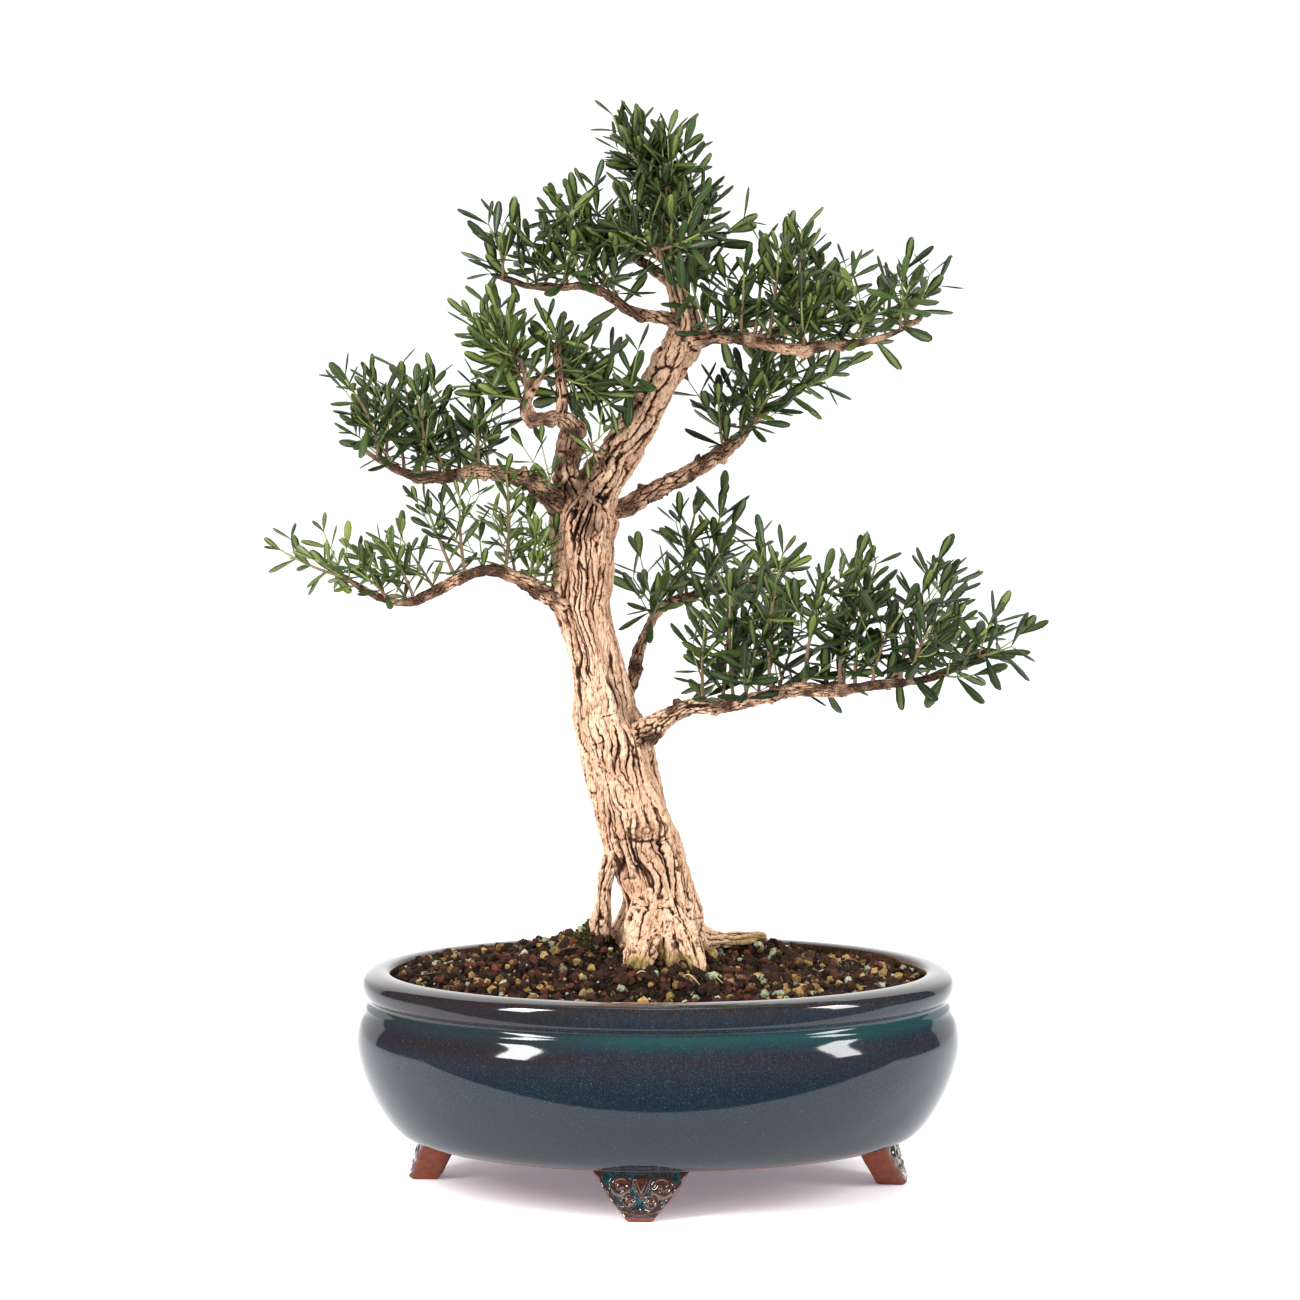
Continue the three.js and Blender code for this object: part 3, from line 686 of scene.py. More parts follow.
def foot_rings(degrees):
    """Rings of a foot from the table up: the loop, between the inner and the outer reach at each height.

    The marks are the relief, the share of bare clay, and 1 to tell a foot from the wall.
    """
    z = np.linspace(0, FOOT_LEVELS[-1, 0], FOOT_ROWS)[:, None]
    half_width, outer, inner = (np.interp(z, FOOT_LEVELS[:, 0], column) for column in FOOT_LEVELS[:, 1:].T)
    bevel = FOOT_BEVEL * smooth_step(1.2, 0, z)
    loop = foot_loop()
    s = loop[:, 0] * (half_width - bevel)
    facing_out = smooth_step(0.75, 0.95, loop[:, 1])
    relief = foot_relief(s, z, half_width) * facing_out
    carved = RELIEF_HEIGHT * (relief - 1) * facing_out * smooth_step(1.5, 4, z)
    reach = inner + (outer - inner) * (loop[:, 1] + 1) / 2 + carved
    reach -= bevel * loop[:, 1]
    middle = math.radians(degrees)
    speed = np.linalg.norm(oval(outer, middle + np.pi / 2), axis=-1)
    rings = with_height(oval(reach, middle + s / speed), z)
    bare = np.maximum(1 - facing_out, smooth_step(BARE_STRIP + 0.5, BARE_STRIP, z))
    return rings, np.stack([relief, np.broadcast_to(bare, s.shape), np.ones(s.shape)], -1)


feet = Heap()
for degrees in FOOT_TURNS:
    feet.add_rings(*foot_rings(degrees))
print("points of the feet:", feet.size)

# %% [markdown]
# The glaze is a slate blue that broke to brown where it ran thin: on the lip, on the shoulder and on
# raised lines. Where it pooled, in the groove under the lip and in the hollows of the feet, it is
# blue-green. An image could be painted for it, but it would stretch on the curves. So the colour follows
# the height up the pot, and streaks that run down the wall blur the borders.

# %% Bands of glaze up the wall
GLAZE_TOP = 130.0
GLAZE_UP_THE_WALL = [
    (0.205, (112, 66, 48)), (0.222, (30, 42, 48)), (0.26, (24, 34, 41)), (0.45, (23, 32, 40)),
    (0.60, (24, 30, 39)), (0.67, (33, 33, 41)), (0.735, (36, 30, 34)), (0.765, (30, 40, 46)),
    (0.785, (28, 51, 53)), (0.82, (31, 61, 61)), (0.835, (26, 30, 36)), (0.85, (30, 34, 42)),
    (0.905, (34, 34, 40)), (0.935, (40, 30, 28)), (0.955, (44, 34, 32)),
]

glaze = Finish("running_glaze", Specular_IOR_Level=0.34, IOR=1.52, Coat_IOR=1.75, Coat_Roughness=0.06)
height_up = glaze.place.part(2) * (PER_METRE / GLAZE_TOP)
run_down = glaze.place.stretched(1, 1, 0.3)
streaks = run_down.noise(800, 4, 0.65)
grainy = glaze.place.noise(1500, 2)
patches = glaze.place.noise(22, 3)
blurred = height_up + 0.04 * (streaks - 0.5) + 0.025 * (grainy - 0.5) + 0.02 * (patches - 0.5)
wall_colour = blurred.ramp(GLAZE_UP_THE_WALL)
print("bands of glaze:", len(GLAZE_UP_THE_WALL))

# %% [markdown]
# On the shoulder the glaze ran in thin blue and brown threads, and the left of the shoulder is browner.
# Below it, lighter flecks lie in the blue, and one pinhole shows where a bubble burst in the kiln, as a dark
# spot of painted shade.

# %% Runs, flecks and a pinhole
PINHOLE = (-145.4, -77.6, 79.8)
PINHOLE_EDGE = (0.0016, 0.0008)

upper_wall = height_up.step(0.66, 0.74)
blue_runs = run_down.noise(600, 3).step(0.52, 0.68) * upper_wall
wall_colour = (blue_runs * 0.45).blend(wall_colour, (34, 50, 76))
brown_runs = run_down.noise(260, 3).step(0.5, 0.72) * upper_wall
wall_colour = (brown_runs * 0.3).blend(wall_colour, (58, 42, 36))
browned = (0 - glaze.place.part(0) + 0.06 * (patches - 0.5)).step(0.0, 0.09) * upper_wall
wall_colour = (browned * 0.6).blend(wall_colour, (36, 27, 28))
flecks = grainy.step(0.5, 0.7) * (0.25 + 0.55 * height_up.step(0.38, 0.6))
flecks = flecks * (0.4 + patches) * (1 - 0.65 * browned)
wall_colour = flecks.blend(wall_colour, (38, 66, 74))
bright_flecks = glaze.place.noise(1100, 1).step(0.7, 0.76) * 0.5
wall_colour = bright_flecks.blend(wall_colour, (64, 104, 108))
# The pinhole is a painted dark spot: the shade in its pit.
pinhole_shade = glaze.place.distance(metres(PINHOLE)).step(*PINHOLE_EDGE)
wall_colour = pinhole_shade.blend(wall_colour, (12, 10, 10))
print("nodes of the glaze so far:", len(glaze.tree.nodes))

# %% [markdown]
# The meshes tell the rest. The first mark is 1 inside the pot, and on a foot it is the relief. The second
# is 1 on bare clay, and the third is 1 on a foot.

# %% The lip, the feet and the bare clay
CLAY = (134, 67, 46)
DARK_CLAY = (112, 55, 40)

first_mark, bare_clay, on_foot = (glaze.marks.part(axis) for axis in range(3))
inside_wall = first_mark * (1 - on_foot)
lip_colour = streaks.step(0.35, 0.65).blend((38, 28, 22), (76, 52, 32))
wall_colour = inside_wall.blend(wall_colour, lip_colour)
raised = (first_mark + 0.5 * (glaze.place.noise(240, 3) - 0.5)).step(0.15, 0.5)
pooled = glaze.place.noise(420, 3).step(0.4, 0.62)
hollow_colour = pooled.blend((36, 44, 48), (34, 78, 82))
raised_colour = pooled.blend((84, 52, 42), (54, 38, 36))
foot_colour = raised.blend(hollow_colour, raised_colour)
glazed_colour = on_foot.blend(wall_colour, foot_colour)
clay_colour = glaze.place.noise(260, 3).step(0.3, 0.7).blend(CLAY, DARK_CLAY)
glaze.feed("Base Color", bare_clay.blend(glazed_colour, clay_colour))
print("nodes with lip, feet and clay:", len(glaze.tree.nodes))

# %% [markdown]
# Fired glaze is glass, so it is smooth, and bare clay is dull. The lip and the feet shine most, so a
# clear coat adds a second reflection there. A faint bump makes the reflections waver as they do on a
# hand-made pot.

# %% The gloss
glaze.feed("Roughness", 0.06 + 0.03 * patches + 0.6 * bare_clay)
clear_coat = height_up.step(0.915, 0.95) * (1 - inside_wall) + 0.8 * on_foot * (1 - bare_clay)
glaze.feed("Coat Weight", clear_coat)
glaze.bump(patches + 0.05 * glaze.place.noise(160, 2), 0.0006, 0.3)
print("nodes of the finished glaze:", len(glaze.tree.nodes))

# %% [markdown]
# The wall, the floor and the holes were made apart, and where they meet, their points lie on one another.
# They are welded first, and then all faces are turned outwards, because mirroring turned some of them in.

# %% The pot's two pieces
WELD_DISTANCE = 2e-5


def weld(piece):
    """Joins points that lie on one another and turns every face outwards."""
    form = bmesh.new()
    form.from_mesh(piece.data)
    bmesh.ops.remove_doubles(form, verts=form.verts, dist=WELD_DISTANCE)
    bmesh.ops.recalc_face_normals(form, faces=form.faces)
    form.to_mesh(piece.data)
    form.free()


weld(pot.piece("pot_body", glaze, "glaze", ["pot"]))
weld(feet.piece("pot_feet", glaze, "glaze", ["pot"]))

# %% [markdown]
# ## The drain screens
# Squares of plastic mesh keep the soil in. They lie deep in the dark holes, so they keep their packed
# shape and only get a dull, slightly scratched plastic.

# %% Plastic for the screens
plastic = Finish("screen_plastic", Roughness=0.55)
scratches = plastic.place.stretched(1, 8, 1).noise(300, 3)
plastic.feed("Base Color", scratches.step(0.35, 0.7).blend((22, 23, 24), (44, 45, 46)))
plastic.bump(scratches, 0.0003, 0.4)
for side in ("left", "right"):
    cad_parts[f"drain_screen_{side}"].data.materials[0] = plastic.material
print("screens finished")

# %% [markdown]
# ## The soil
# The bed is a lumpy mound that fills the pot. It could be sculpted or simulated, but a height for each
# place does it in one step and can also be asked for later, by the grit, the roots and the fibres. It is
# the pot's fill level, plus a bell round the trunk and two small heaps, plus noise of two sizes.

# %% The height of the bed
SOIL_EDGE = 118
MOUND_HEIGHT = 21
MOUND_MIDDLE = np.array((-26, 12))
MOUND_REACH = np.array((85, 75))
HEAPS = [(-41, -3, 11, 13), (60, 37, 19, 9)]


def soil_height(flat):
    """The bed's height: its edge level, bells that fall off with the square of the distance, and lumps."""
    bell = np.exp(-(((flat - MOUND_MIDDLE) / MOUND_REACH) ** 2).sum(-1))
    heap = sum(rise * np.exp(-(((flat - (x, y)) / reach) ** 2).sum(-1)) for x, y, reach, rise in HEAPS)
    place = with_height(flat, 0.0)
    lumps = 1.7 * rough_noise(place / 16) + 1.5 * rough_noise(place / 5, 2, 11)
    return SOIL_EDGE + MOUND_HEIGHT * bell + heap + lumps


print("height of the bed in the middle:", soil_height(np.zeros(2)).round(1))

# %% [markdown]
# The bed is a closed skin. Its sides follow the inside of the pot at a small gap, down to the floor, and
# rings that shrink towards the middle carry the height of the bed.

# %% The soil bed
SOIL_FLOOR = 38.4
SOIL_LEVELS = np.array([SOIL_FLOOR, 44.5, 61, 82, 99, 114])
SOIL_REACH = 154.4
WALL_GAP = 0.3
BED_RINGS = 104
INNERMOST = 0.004
RING_POWER = 0.8

inner_reach, inner_height = np.array(POT_INSIDE[:0:-1]).T
soil_reach = np.interp(SOIL_LEVELS, inner_height, inner_reach) - WALL_GAP
soil_sides = with_height(oval(soil_reach[:, None], turn), SOIL_LEVELS[:, None])
ring_shares = np.linspace(1, INNERMOST, BED_RINGS)[:, None] ** RING_POWER
top_flat = oval((SOIL_REACH - WALL_GAP) * ring_shares, turn)
soil = Heap()
soil.add_rings(np.concatenate([soil_sides, with_height(top_flat, soil_height(top_flat))]))
print("points of the bed:", soil.size)

# %% [markdown]
# Wet peat is nearly black and crumbly, and it takes a deep bump well. A little moss greens the heap at
# the trunk.

# %% Peat
MOSSY_HEAP = (*HEAPS[0][:2], 150)
MOSS_EDGE = (0.021, 0.012)

peat = Finish("peat", Roughness=0.95, Specular_IOR_Level=0.1)
crumbs = peat.place.noise(700, 4)
lumps = peat.place.noise(130, 3)
peat_colour = crumbs.step(0.35, 0.75).blend((6, 4, 3), (44, 29, 21))
peat_colour = (lumps.step(0.55, 0.7) * 0.4).blend(peat_colour, (66, 44, 31))
mossy_heap = peat.place.distance(metres(MOSSY_HEAP)).step(*MOSS_EDGE) * crumbs.step(0.35, 0.6)
peat.feed("Base Color", (mossy_heap * 0.8).blend(peat_colour, (56, 58, 26)))
peat.bump(crumbs, 0.002, 0.9)
soil.piece("soil_bed", peat, "earth", ["soil"])

# %% [markdown]
# The grit on the bed is what gives the surface its scale: grey-green pumice, ochre clay, reddish lava and
# dark peat crumbs. Particles could scatter a few modelled grains. Here every grain is one twenty-faced
# stone instead, stretched, dented and turned at random, and half sunk in the bed, so no two are alike.

# %% A stone with twenty faces
GOLDEN = (1 + 5**0.5) / 2
STONE = np.array([(a, b * GOLDEN, 0) for a in (-1, 1) for b in (-1, 1)], float)
STONE = np.vstack([STONE, STONE[:, [2, 0, 1]], STONE[:, [1, 2, 0]]]) / math.hypot(1, GOLDEN)
STONE_EDGE = 2 / math.hypot(1, GOLDEN)


def is_face(a, b, c):
    """Whether three corners are an edge apart and go round anticlockwise, seen from outside."""
    if a > min(b, c):
        return False
    sides = STONE[[b, c, a]] - STONE[[a, b, c]]
    an_edge_apart = np.allclose(np.linalg.norm(sides, axis=1), STONE_EDGE)
    return an_edge_apart and np.dot(np.cross(sides[0], sides[1]), STONE[a]) > 0


STONE_FACES = np.array([corners for corners in np.ndindex(12, 12, 12) if is_face(*corners)])
print("corners and faces of a stone:", len(STONE), len(STONE_FACES))

# %% [markdown]
# Chance makes each stone its own, three times: in its shape, in its turn and in its place. A turn comes
# from a random quaternion, because random angles would favour some directions.

# %% Stones at random
TRUNK_X = -2
TRUNK_CLEARANCE = 30


def random_turns(random, count):
    """Rotation matrices from random unit quaternions, evenly spread over all turns."""
    quaternions = random.normal(size=(count, 4))
    w, x, y, z = quaternions.T / np.linalg.norm(quaternions, axis=1)
    rows = [
        [1 - 2 * (y * y + z * z), 2 * (x * y - w * z), 2 * (x * z + w * y)],
        [2 * (x * y + w * z), 1 - 2 * (x * x + z * z), 2 * (y * z - w * x)],
        [2 * (x * z - w * y), 2 * (y * z + w * x), 1 - 2 * (x * x + y * y)],
    ]
    return np.moveaxis(np.array(rows), -1, 0)


def add_stones(heap, random, places, sizes, tones, dent):
    """Adds a stone at each place.

    It is the unit stone with each point moved in or out at random, then stretched, turned and scaled.
    The marks are its tone and two random numbers.
    """
    count, corners = len(places), len(STONE)
    shape = STONE * (1 + dent * random.uniform(-1, 1, (count, corners, 1)))
    shape = shape * random.uniform(0.65, 1.1, (count, 1, 3))
    shape = np.einsum("nij,nkj->nki", random_turns(random, count), shape)
    points = shape * np.asarray(sizes)[:, None, None] / 2 + places[:, None]
    faces = STONE_FACES + corners * np.arange(count)[:, None, None]
    marks = np.stack([np.asarray(tones), random.random(count), random.random(count)], -1)
    heap.add(points.reshape(-1, 3), NO_QUADS, faces.reshape(-1, 3), np.repeat(marks, corners, axis=0))


def scattered(random, count, crowding, reach):
    """Places on the bed at random angles, clear of the trunk.

    Their distance is the reach times a power of a random share, and one half gives an even spread.
    """
    flat = oval(reach * random.random(count) ** crowding, random.uniform(0, 2 * np.pi, count))
    return flat[np.hypot(flat[:, 0] - TRUNK_X, flat[:, 1]) > TRUNK_CLEARANCE]


trial_turn = random_turns(np.random.default_rng(0), 1)[0]
print("volume of a turned unit cube:", np.linalg.det(trial_turn).round(6))

# %% [markdown]
# Each kind of grain has a count, its smallest and largest size, its lowest and highest tone, how dented
# it is and how evenly it spreads. The tone picks the colour. Moss is made of the same stones, tiny and
# crowded.

# %% Lay the grit and the moss
GRIT_SEED = 21
GRIT_REACH = 150.5
GRAINS = {
    "peat clods": (1450, (2.4, 8), (0, 0.26), 0.34, 0.5),
    "lava": (620, (2.6, 7), (0.32, 0.46), 0.28, 0.45),
    "pumice": (270, (2.8, 7.4), (0.48, 0.62), 0.22, 0.34),
    "clay": (330, (2.8, 8), (0.64, 0.8), 0.3, 0.34),
    "dark crumbs": (1500, (1.2, 3), (0, 0.4), 0.25, 0.5),
    "light crumbs": (420, (1.1, 2.6), (0.48, 0.88), 0.25, 0.42),
}
MOSS = [((-42, -6), 6, 150), ((2, -42), 5, 60), ((27, -34), 4, 40), ((-22, -24), 5, 60), ((34, -10), 4, 30)]
MOSS_DENT = 0.22

random = np.random.default_rng(GRIT_SEED)
grit = Heap()
for kind, (count, sizes, tones, dent, crowding) in GRAINS.items():
    flat = scattered(random, count, crowding, GRIT_REACH)
    sizes = random.uniform(*sizes, len(flat))
    sunk = random.uniform(-0.1, 0.36, len(flat)) * sizes
    tones = random.uniform(*tones, len(flat))
    add_stones(grit, random, with_height(flat, soil_height(flat) + sunk), sizes, tones, dent)
    print(kind, "laid:", len(flat))
for middle, spread, count in MOSS:
    flat = random.normal(middle, spread, (count, 2))
    sizes = random.uniform(0.9, 2.4, count)
    tones = random.uniform(0.92, 1, count)
    add_stones(grit, random, with_height(flat, soil_height(flat) + 0.3 * sizes), sizes, tones, MOSS_DENT)

# %% [markdown]
# One ramp holds a dark and a light colour for each kind of grain, so the tone mark picks both the kind
# and how light the grain is. Peat dust browns some of them.

# %% The finish of the grit
GRIT_COLOURS = [
    (0.0, (16, 11, 9)), (0.3, (78, 50, 36)), (0.32, (66, 34, 27)), (0.46, (112, 62, 46)),
    (0.48, (124, 130, 104)), (0.62, (186, 190, 160)), (0.64, (188, 156, 98)), (0.8, (116, 92, 48)),
    (0.82, (120, 98, 72)), (0.9, (78, 60, 46)), (0.92, (36, 42, 20)), (1.0, (98, 104, 40)),
]

grit_finish = Finish("grit", Roughness=0.9, Specular_IOR_Level=0.15)
grains = grit_finish.place.noise(1500, 3)
grit_colour = grit_finish.marks.part(0).ramp(GRIT_COLOURS)
dusty_spots = grit_finish.place.noise(420, 2).step(0.45, 0.65)
dusty = 0.75 * grit_finish.marks.part(1).step(0.45, 0.95) + 0.5 * dusty_spots
grit_colour = dusty.blend(grit_colour, (44, 31, 23))
grit_finish.feed("Base Color", (grains.step(0.45, 0.7) * 0.4).blend(grit_colour, (34, 24, 19)))
grit_finish.bump(grains, 0.0008, 0.7)
grit.piece("soil_grit", grit_finish, "earth", ["soil"], smooth=False)

# %% [markdown]
# ## The wood
# A limb is a list of points along its middle, each with a radius, and a smooth curve runs through them. A
# curve object with a bevel could draw it, but bark needs a height at every place round it, so its rings
# are worked out here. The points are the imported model's, so the finer limbs lie where its solids are.
# Only the roots and the smallest sprigs differ a little, where the finer surface needed it.

# %% The limbs
LIMBS = {
    "trunk": [
        (0.5, 0, 112.7, 31), (1, 0, 136, 28.5), (1.6, 0, 153.7, 24), (0.3, 0, 168.4, 21),
        (-4.4, 0, 184.9, 21), (-9.9, 0, 200.8, 21.3), (-14.5, 0, 218.4, 20), (-19.7, 0, 236, 19.8),
        (-24.9, 0, 255.3, 20), (-30.7, 0, 271.1, 18.5), (-31.9, 0, 282.8, 17), (-35.4, 0, 303.3, 15),
        (-40, 0, 320.8, 14.7), (-43.5, 0, 338.2, 16.5), (-42.9, 0, 355.7, 17.3), (-43.5, 0, 373.1, 18),
        (-41.8, 0, 387.6, 19), (-37.2, 2, 400.9, 16),
    ],
    "leg": [
        (-18.5, -6, 201.8, 6), (-26.6, -8, 188.9, 5), (-30.3, -8, 174.4, 4.4), (-31.3, -8, 160.7, 4.6),
        (-33.4, -6, 146.9, 6.4), (-35.3, -4, 130.7, 8), (-36.5, 0, 115, 7),
    ],
    "leader": [
        (-39.4, 0, 393.4, 14), (-31.9, 2, 407.9, 13), (-22.1, 4, 424, 11.5), (-10.5, 6, 442.7, 10.8),
        (1.2, 6, 462.9, 10.4), (12.2, 4, 483, 10.6), (15.1, 2, 497.4, 8.6), (12.2, 0, 511.7, 6.6),
        (7.5, 0, 531.8, 5.2), (5.8, 0, 551.8, 4.4), (3.5, 1, 569.1, 3.6), (1.7, 1, 581.6, 2.6),
    ],
    "left_lower": [
        (-48.1, -2, 333.7, 9), (-59, -6, 338.5, 6.5), (-71, -10, 345.7, 5), (-82.3, -14, 352.2, 4.3),
        (-96.5, -18, 355.8, 3.8), (-110.7, -22, 352.5, 3.5), (-124.8, -25, 345.1, 3.3),
        (-138.9, -28, 338.9, 3), (-150.2, -30, 338.4, 2.9), (-164.3, -32, 344.2, 2.7),
        (-178.3, -34, 352.9, 2.5), (-189.5, -36, 361, 2.4),
    ],
    "left_upper": [
        (-46.4, 0, 389.3, 11), (-59, -4, 395.8, 9), (-70.5, -8, 405.1, 6.5), (-84.2, -12, 409.7, 4.8),
        (-103, -16, 412.1, 4.3), (-122.4, -18, 409.2, 4), (-139.3, -22, 410.4, 3.6),
        (-151.8, -24, 415, 3.2), (-163.1, -26, 421.8, 2.7), (-170.3, -28, 426.9, 2.4),
    ],
    "left_leader": [
        (-46.3, -6, 393.5, 10), (-51.4, -10, 409.1, 9), (-51.3, -13, 425.2, 8.4),
        (-49.5, -16, 436.7, 7), (-55.1, -20, 442.4, 5.5), (-64.7, -24, 442.4, 4.4),
        (-73.2, -27, 442.7, 4.2), (-75.5, -29, 449.1, 4), (-73.5, -30, 458.2, 3.6),
        (-76.5, -31, 472.4, 3), (-81, -32, 483.6, 2.5),
    ],
    "left_leader_fork": [(-74.1, -30, 454.8, 3), (-64.4, -34, 468.3, 2.4)],
    "left_leader_stub": [
        (-55.1, -20, 442.4, 4.2), (-54.4, -26, 456.6, 3.2), (-57.1, -30, 475.2, 2.9),
        (-56.4, -33, 491, 2.6),
    ],
    "upper_left": [
        (11, -2, 499, 5), (-3.5, -8, 501, 3.8), (-16.1, -14, 504.2, 3.6), (-28.7, -18, 512.6, 3),
        (-43, -20, 517.6, 2.6), (-59.1, -22, 516.3, 2.5), (-74.5, -24, 517.4, 2.4),
        (-90.4, -26, 522.4, 2.4),
    ],
    "upper_right": [
        (15.1, 0, 485.8, 8), (25.5, -5, 488, 5.4), (38.7, -9, 489.6, 4.7), (57, -13, 486.5, 4.6),
        (69.6, -15, 483, 4.4), (81.6, -17, 481.8, 4.2), (94.8, -19, 484.1, 3.9),
        (109, -21, 484.6, 3.5), (125.4, -25, 487.9, 2.9), (138.4, -27, 492.9, 2.6),
        (149.7, -29, 499.6, 2.4),
    ],
    "upper_right_back": [
        (57.1, -10, 486.6, 3.4), (68.3, 12, 491.4, 3), (83.7, 32, 495.6, 2.6), (101.2, 50, 501, 2.4),
    ],
    "right_middle": [
        (-34.9, 6, 389.2, 9), (-19.3, 14, 392, 6.6), (-4.7, 22, 399.5, 6), (13.5, 30, 408.8, 5.8),
        (34.3, 38, 421.1, 5.4), (46.2, 43, 429.9, 4.6), (55.9, 48, 440.7, 3.6), (69.8, 54, 452.5, 2.9),
        (84.9, 60, 459.8, 2.5),
    ],
    "right_middle_stub": [(21.2, 33, 412.3, 3), (24.2, 34, 422.8, 2.6)],
    "right_back": [
        (-25.7, 10, 275.7, 7), (-16.4, 20, 286.7, 4.8), (-11.8, 30, 304.9, 3.8),
        (-7.7, 36, 315.2, 3.6), (-3.6, 42, 324.5, 3.4), (3.6, 48, 332.5, 3.3), (14.3, 54, 337, 3.2),
        (29.3, 60, 340.3, 3), (43.2, 66, 342.4, 2.8), (57.2, 72, 348.9, 2.6), (68.7, 76, 353, 2.4),
    ],
    "right_lower": [
        (-20.8, -4, 255.7, 11), (-4.6, -11, 263.9, 8.4), (6.9, -16, 271.9, 6), (18.4, -20, 278, 4.8),
        (40.1, -26, 279.6, 4.3), (58.2, -30, 283.9, 4.2), (78.6, -34, 288.8, 4),
        (99.5, -38, 288.5, 3.8), (121.4, -42, 291.7, 3.5), (143.3, -45, 294.1, 3.2),
        (158.4, -48, 297.7, 2.9), (171.8, -50, 304.8, 2.6), (184.5, -52, 312.2, 2.4),
    ],
    "right_lower_fork": [(128.8, -42, 292.2, 3), (141, -30, 302.9, 2.6), (156.5, -16, 312.9, 2.4)],
    "crown_left": [
        (8.1, 0, 519.7, 4.2), (-7.5, -4, 531, 3.2), (-28, -8, 542.3, 2.7), (-50, -12, 550.2, 2.4),
    ],
    "crown_right": [(10.5, 2, 516.3, 4.2), (24.4, 2, 533.6, 3), (37.1, 0, 547.3, 2.5)],
    "crown_front": [(9.5, -2, 519.7, 4), (4.4, -24, 530.4, 3), (-3.1, -44, 538.5, 2.5)],
    "crown_back": [(9.3, 2, 523.3, 4.2), (5.9, 28, 543.2, 3), (1.2, 50, 557.5, 2.6)],
    "root_right": [
        (11.6, 6, 146.9, 12), (27.5, 14, 140.4, 6.5), (37.5, 22, 137.4, 4.6), (51.2, 30, 137, 3.8),
        (60, 36, 136.5, 4), (64, 39, 136, 2.6),
    ],
    "root_front": [
        (-4.5, -8, 172, 9), (-6.2, -14, 156, 11.5), (-10.3, -32, 139.2, 9), (-13.6, -42, 124, 6),
    ],
    "root_front_right": [
        (4.5, -7, 173, 9), (8, -12, 156, 12), (17, -26, 137.1, 9), (24, -36, 122.8, 6),
    ],
    "fork_sprig": [(-54, -12, 400, 2), (-59, -18, 402, 1.4), (-64, -23, 405, 1.1)],
    "leader_sprig": [(-30, -8, 413, 2.2), (-35, -15, 421, 1.6), (-40, -20, 431, 1.2)],
    "leader_spur": [(-6, 2, 452.8, 4), (-14, -6, 458.1, 3), (-22, -12, 465.6, 2.4)],
    "root_back": [(-1, 8, 170, 9), (-1.8, 15, 151.5, 12.5), (-1.2, 36, 133, 9), (1.2, 50, 118, 6)],
}
STOUT_LIMBS = ("trunk", "leg", "leader", "root_right", "root_front", "root_front_right", "root_back")
CURVE_POINTS = 40


def along_limb(path, count):
    """Middle points, radii, frames and distances at even steps along a limb.

    The first direction of a frame is across both the way of the limb and the axis that the limb follows
    least. The second is across the way and the first.
    """
    curve = through(path, CURVE_POINTS * len(path))
    run = np.concatenate([[0], np.cumsum(np.linalg.norm(np.diff(curve[:, :3], axis=0), axis=1))])
    even = np.linspace(0, run[-1], count)
    curve = np.stack([np.interp(even, run, column) for column in curve.T], -1)
    way = np.gradient(curve[:, :3], axis=0)
    way /= np.linalg.norm(way, axis=1, keepdims=True)
    first = np.cross(way, np.eye(3)[np.abs(way).max(0).argmin()])
    first /= np.linalg.norm(first, axis=1, keepdims=True)
    return curve[:, :3], curve[:, 3], way, first, np.cross(way, first), even


def limb_length(path):
    """The sum of the steps between a limb's points."""
    return float(np.linalg.norm(np.diff(np.array(path)[:, :3], axis=0), axis=1).sum())


print("limbs:", len(LIMBS), "together", round(sum(map(limb_length, LIMBS.values()))), "mm long")

# %% [markdown]
# Old boxwood bark splits into long plates. To get plates, points are scattered one to a cell over the
# unrolled bark, and each place belongs to its nearest point. Where the nearest and the second nearest are
# equally far, there is a border, and that becomes a fissure. Blender's Voronoi texture works in the same
# way, but it doesn't close on itself round a limb. Here it does, and the mesh and the finish share its
# borders and its tones.

# %% Plates and their borders


def plates(u, v, count, seed, squash):
    """How far a place is from the border of its cell, and a random number that its cell keeps.

    Points lie one in each unit cell of a sheet that closes on itself after count cells. The first result is
    the distance to the second nearest point less the distance to the nearest.
    """
    rows = int(v.max() - v.min()) + 5
    spots = np.random.default_rng(seed).random((rows, count, 3))
    cell_u, cell_v = np.floor(u).astype(int), np.floor(v).astype(int)
    near, second, own = np.full(u.shape, 9.0), np.full(u.shape, 9.0), np.zeros(u.shape)
    for du, dv in np.ndindex(3, 3):
        at_u, at_v = cell_u + du - 1, cell_v + dv - 1
        spot = spots[at_v % rows, at_u % count]
        distance = np.hypot(at_u + spot[..., 0] - u, (at_v + spot[..., 1] - v) * squash)
        closer = distance < near
        second = np.where(closer, near, np.minimum(second, distance))
        own = np.where(closer, spot[..., 2], own)
        near = np.minimum(near, distance)
    return second - near, own


def three_plates(place, angle, run, round_plates, plate_length, seed):
    """Borders and own numbers of the plates, of the strips that split them and of the chips that split those.

    Noise shifts the places first, which makes the borders wander.
    """
    frayed = 0.12 * noise(place / 2.3, seed + 6)
    fine = noise(place / 4, seed)
    u = angle / (2 * np.pi) * round_plates + 0.5 * rough_noise(place / 17, 2, seed) + 0.14 * fine + frayed
    v = run / plate_length + 0.45 * rough_noise(place / 22, 2, seed + 3) + 0.08 * fine + 0.3 * frayed
    strips = u * 2 + 0.35 * noise(place / 6, seed + 9)
    chips = u * 5 + 0.6 * noise(place / 3, seed + 5)
    return (
        plates(u, v, round_plates, seed, 0.8),
        plates(strips, v * 3.2, round_plates * 2, seed + 1, 0.8),
        plates(chips, v * 15, round_plates * 5, seed + 2, 0.9),
    )


